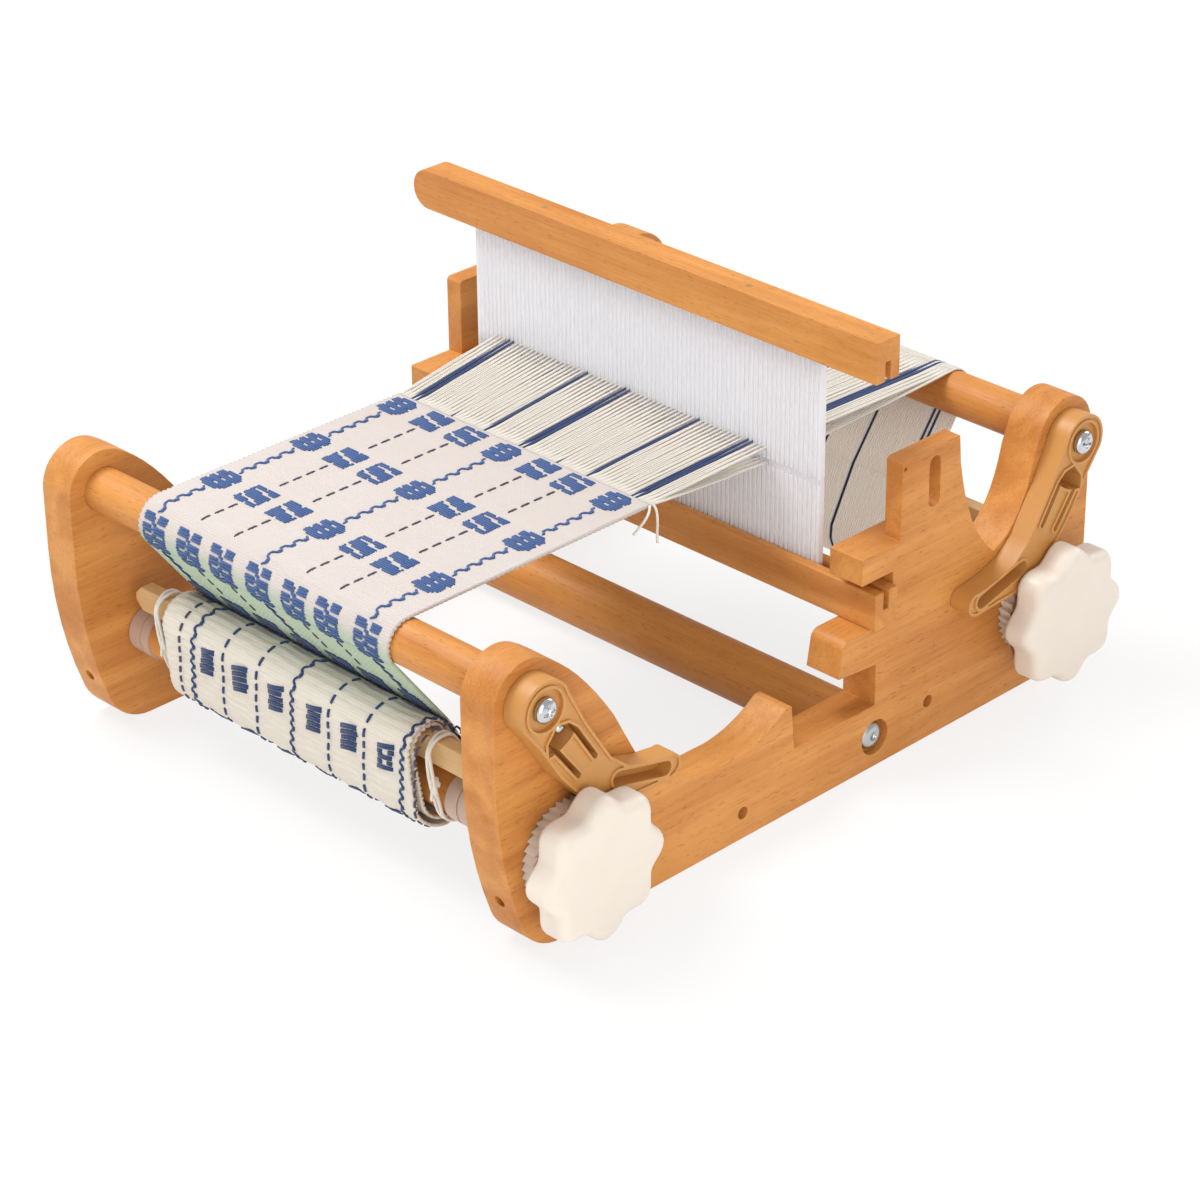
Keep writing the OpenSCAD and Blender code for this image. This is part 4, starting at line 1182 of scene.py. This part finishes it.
class LOOM_OT_cloth(bpy.types.Operator):
    """Weave the cloth: the web over the front beam, the fall behind the roll and the roll itself"""

    bl_idname = "loom.cloth"
    bl_label = "Cloth"

    # Each part's node, how it is held and what it rests on
    parts = {
        "over": ("cloth_web", "stretched", ["front_beam"]),
        "fall": ("cloth_fall", "stretched", ["cloth_web_woven", "cloth_roll_woven"]),
        "roll": ("cloth_roll", "folded", ["cloth_roller", "cloth_stick"]),
    }

    def execute(self, context):
        sizes, colours = context.scene.loom_sizes, context.scene.loom_colours
        paths = lines()["cloth"]
        # Painted shade: the web turns to the shade colour over its last 11 mm, where it goes down past the
        # front beam
        painted_shade_from = paths["over"].length - 11 * MM
        deep = yarn_finish("deep_navy_yarn", colours.deep_navy, 0.4)
        dark = yarn_finish("dark_yarn", colours.dash, 0.3)
        finishes = {
            "over": (
                cloth_finish("woven_cream", colours.cream, colours.shade, painted_shade_from, painted_shade_from + 9 * MM),
                yarn_finish("navy_yarn", colours.navy, 0.4),
            ),
            # Painted shade: the fall's cloth takes the grey-green shade colour, and its pattern takes the
            # deeper navy
            "fall": (cloth_finish("woven_shade", colours.shade), deep),
            "roll": (cloth_finish("woven_back", colours.roll_cream, ridges=3.2), deep),
        }
        start = 0.0
        for part, (name, held, rests) in self.parts.items():
            line, (cream, navy) = paths[part], finishes[part]
            builds = [sheet_build(line.length, sizes)]
            bmesh.ops.translate(builds[0], verts=builds[0].verts, vec=(0, 0, -sizes.weave))
            if part == "roll":
                builds += roll_pattern(line)
                for build in builds:
                    self.swell(build, line.length)
            else:
                builds += cloth_pattern(start, start + line.length)
            made = []
            for build, label, material in zip(builds, ("woven", "motifs", "stitches"), (cream, navy, dark)):
                wrap(build, line)
                if label == "woven":
                    bmesh.ops.recalc_face_normals(build, faces=build.faces)
                else:
                    close_up(build)
                made.append(to_object(build, f"{name}_{label}", material))
                if part == "fall":
                    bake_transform(made[-1])
                else:
                    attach(made[-1], "loom_frame" if part == "over" else "cloth_winder")
            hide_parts(name)
            start += line.length
        return {"FINISHED"}

    def swell(self, build, whole):
        """Makes the outermost turn of cloth stand out in soft waves."""
        for corner in build.verts:
            across, along = corner.co.x, corner.co.y
            starting, ending = along / (6 * MM), (0.4 * whole - along) / (12 * MM)
            share = min(1.0, max(0.0, starting)) * min(1.0, max(0.0, ending))
            wave = math.sin(2 * math.pi * across / (13 * MM) + 1.3 * math.sin(along / (9 * MM)))
            wave += 0.7 * math.sin(2 * math.pi * (across / (31 * MM) + along / (17 * MM)))
            corner.co.z -= share * (0.45 + 0.25 * wave) * MM


class LOOM_OT_warp(bpy.types.Operator):
    """String the warp in two layers through the reed, over the back beam and round the rear roller"""

    bl_idname = "loom.warp"
    bl_label = "Warp"

    # Half the space that stays between the two yarns of a pair, and how far a yarn wanders or sways
    shut = 0.08 * MM
    wander = 0.12 * MM
    sway = 0.08 * MM

    def execute(self, context):
        sizes, colours = context.scene.loom_sizes, context.scene.loom_colours
        cream = yarn_finish("warp_yarn_cream", colours.warp_cream, 0.4)
        navy = yarn_finish("warp_yarn_navy", colours.deep_navy, 0.3)
        # Painted light: the warp on the fall and roll lies in shade and is brightened by a glow
        shaded = yarn_finish("warp_yarn_shaded", colours.warp_cream, 0.25, glow=0.3)
        paths = lines()["warp"]
        draws = random.Random(3)
        strands = {}
        for place in range(sizes.threads):
            tone = "navy" if place in NAVY_THREADS else "cream"
            for part, route in self.thread(place, paths, sizes, draws):
                strands.setdefault((part, tone), []).append(route)
        for (part, tone), routes in strands.items():
            single = part in ("fall", "roll")
            material = navy if tone == "navy" else shaded if single else cream
            radius = sizes.thread / 2 * (1.14 if single else 1)
            piece = strand_piece(f"warp_{part}_{tone}", routes, radius, material)
            self.hold(piece, part, paths["fall"], CLOTH_TOP - sizes.cloth / 2)
            if tone == "cream":
                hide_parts("warp_" + part.split("_")[0])
        return {"FINISHED"}

    def thread(self, place, paths, sizes, draws):
        """The routes of one warp place: pairs before and behind the reed, one yarn on fall and roll."""
        radius = sizes.thread / 2
        middle_z = CLOTH_TOP - sizes.cloth / 2
        over = paths["over"]
        top = over.points[0][1] - radius
        x_fell = CLOTH_LEFT + (place + 0.5) * (CLOTH_RIGHT - CLOTH_LEFT) / sizes.threads
        x_reed = thread_place(place)
        kind, rise = ("eyes", -sizes.layer) if place % 2 else ("slots", sizes.layer)
        found = []
        for side in (-1, 1):
            lean = draws.uniform(-0.3, 0.3)
            front = []
            for i in range(9):
                part = i / 8
                apart = self.apart(side, min(1, part * 1.25), sizes)
                wander = draws.uniform(-self.wander, self.wander) * (0 < part < 1)
                across = x_fell + (x_reed - x_fell) * part + apart * (part < 1) + wander
                front.append((across, FELL + (REED_Y - FELL) * part, middle_z + rise * part + apart * lean))
            rear = []
            for i in range(8):
                part = i / 7
                apart = self.apart(side, part, sizes)
                height = middle_z + rise + (top - middle_z - rise) * part + apart * lean * (part < 0.7)
                rear.append((x_reed + apart, REED_Y + (-over.points[1][0] - REED_Y) * part, height))
            last = len(over.points) - 1
            for i in (*range(3, last, 3), last):
                _, y, z = side_point(over.at(over.reach[i], -radius), True)
                rear.append((x_reed + side * 0.1 * MM, y, z))
            found += [(f"front_{kind}", front), (f"back_{kind}", rear)]
        fall, roll = paths["fall"], paths["roll"]
        down = [side_point(fall.at(fall.length * i / 5, -radius), True) for i in range(6)]
        found.append(("fall", [(x_reed, y, z) for _, y, z in down]))
        wound = [side_point(roll.at(reach, -radius), True) for reach in roll.reach[::2]]
        found.append(("roll", [(x_reed + draws.uniform(-self.sway, self.sway), y, z) for _, y, z in wound]))
        return found

    def apart(self, side, part, sizes):
        """How far a yarn lies beside its pair's middle: widest halfway along."""
        return side * (self.shut + sizes.spread / 2 * math.sin(math.pi * part) ** 0.6)

    def hold(self, piece, part, fall, middle_z):
        """Joins a part of the warp to the body that carries it; the back eyes and the fall stay where they
        are in world space.
        """
        if part == "front_eyes":
            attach(piece, "loom_frame")
            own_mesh(piece)
        elif part == "back_eyes":
            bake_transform(piece)
        elif part == "fall":
            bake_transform(piece)
        else:
            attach(piece, "warp_winder" if part == "roll" else "loom_frame")


class LOOM_OT_ties(bpy.types.Operator):
    """Tie the sticks to the rollers with white cord, and leave the two weft ends at the fell"""

    bl_idname = "loom.ties"
    bl_label = "Ties and weft ends"

    # Where the two loops of a tie lie beside its middle, and how far they lean, in millimetres
    loops = ((-0.9, 0.4), (0.9, -0.5))
    # How far the knot's two ends slant, and how long they are, in millimetres
    knot_ends = ((-1.2, 9), (1.4, 6.5))
    # The weft ends' ways from the fell's right corner, in millimetres
    weft_ways = (
        [(0.6, -1.2, 0.3), (1.6, -2.6, -1.4), (1.9, -5, -4), (1.2, -8, -7), (0.4, -10.6, -9.6)],
        [(0.6, 1, 0.2), (2.2, 1, -2.4), (3.1, 0.6, -7), (3.3, 0.2, -11.5), (3.7, 0, -15.6)],
    )

    def execute(self, context):
        sizes, colours = context.scene.loom_sizes, context.scene.loom_colours
        white = yarn_finish("tie_cord", colours.cord, 0.25, 0.0022)
        reach = ROLLER_R + sizes.tie / 2 + 1.2 * MM
        for node, winder, way in (
            ("cloth_stick_ties", "cloth_winder", 1),
            ("warp_stick_ties", "warp_winder", -1),
        ):
            low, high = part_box(node)
            for side, x in (("left", low[0] - 3 * MM), ("right", high[0] + 0.5 * MM)):
                loops = [
                    (self.loop(x + shift * MM, reach, way, lean * MM), True) for shift, lean in self.loops
                ]
                piece = cord_piece(f"{node}_{side}", loops + self.knot(x, way), sizes.tie / 2, white)
                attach(piece, winder)
                if side == "left":
                    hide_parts(node)
        corner = Vector((CLOTH_RIGHT + CLEAR, FELL, CLOTH_TOP - sizes.cloth * 0.3))
        routes = [([corner + Vector(step) * MM for step in steps], False) for steps in self.weft_ways]
        piece = cord_piece("weft_ends", routes, 0.55 * MM, white)
        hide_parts("weft_tail")
        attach(piece, "loom_frame")
        return {"FINISHED"}

    def loop(self, x, low_reach, way, lean):
        """A cord's way round stick and roller; way is 1 in front and -1 at the rear."""
        low, high = flat_point(ROLLER), flat_point(STICK)
        axis = math.atan2(high[1] - low[1], high[0] - low[0])
        high_reach = STICK_R + 0.9 * MM
        wide = math.acos((low_reach - high_reach) / (high - low).length)
        round_low = 2 * math.pi - 2 * wide
        spots = [high + polar(high_reach, axis + wide - 2 * wide * i / 6) for i in range(7)]
        spots += [low + polar(low_reach, axis - wide - round_low * i / 8) for i in range(9)]
        return [(x + lean * math.sin(i * 1.1), way * p[0], p[1]) for i, p in enumerate(spots)]

    def knot(self, x, way):
        """A small overhand knot on the front strand with two short ends."""
        low, high = flat_point(ROLLER), flat_point(STICK)
        front = low.lerp(high, 0.45) + Vector((-ROLLER_R + 0.3 * MM, 0))
        centre = Vector((x, way * front[0], front[1]))
        turns = []
        for i in range(22):
            angle = i * 2 * math.pi * 2.4 / 21
            across, deep = 1.5 * math.sin(angle), -way * math.cos(angle * 1.5)
            turns.append(centre + Vector((across, deep, 1.6 * math.cos(angle) - 0.04 * i)) * MM)
        routes = [(turns, False)]
        for slant, reach in self.knot_ends:
            end = []
            for part in (0, 0.25, 0.5, 0.75, 1):
                step = Vector((slant * part * part * 1.6, -way * 0.8 * math.sin(part * 3), -reach * part))
                end.append(centre + step * MM)
            routes.append((end, False))
        return routes


class LOOM_PT_panel(bpy.types.Panel):
    """Loom pieces and their sizes"""

    bl_idname = "LOOM_PT_panel"
    bl_label = "Table loom"
    bl_space_type = "VIEW_3D"
    bl_region_type = "UI"
    bl_category = "Loom"

    def draw(self, context):
        for operator in STEPS:
            self.layout.operator(operator.bl_idname)
        for group in (context.scene.loom_sizes, context.scene.loom_colours, context.scene.loom_view):
            box = self.layout.box()
            for key in group.__annotations__:
                box.prop(group, key)


STEPS = (
    LOOM_OT_camera,
    LOOM_OT_stage,
    LOOM_OT_wood,
    LOOM_OT_metal,
    LOOM_OT_moulded,
    LOOM_OT_reed,
    LOOM_OT_cloth,
    LOOM_OT_warp,
    LOOM_OT_ties,
)
GROUPS = {"loom_sizes": LoomSizes, "loom_colours": LoomColours, "loom_view": LoomView}


def register():
    for made in (*GROUPS.values(), *STEPS, LOOM_PT_panel):
        bpy.utils.register_class(made)
    for name, group in GROUPS.items():
        setattr(bpy.types.Scene, name, bpy.props.PointerProperty(type=group))


def unregister():
    for name in GROUPS:
        delattr(bpy.types.Scene, name)
    for made in reversed((*GROUPS.values(), *STEPS, LOOM_PT_panel)):
        bpy.utils.unregister_class(made)


def main():
    register()
    for operator in STEPS:
        group, name = operator.bl_idname.split(".")
        getattr(getattr(bpy.ops, group), name)()


if __name__ == "__main__":
    main()
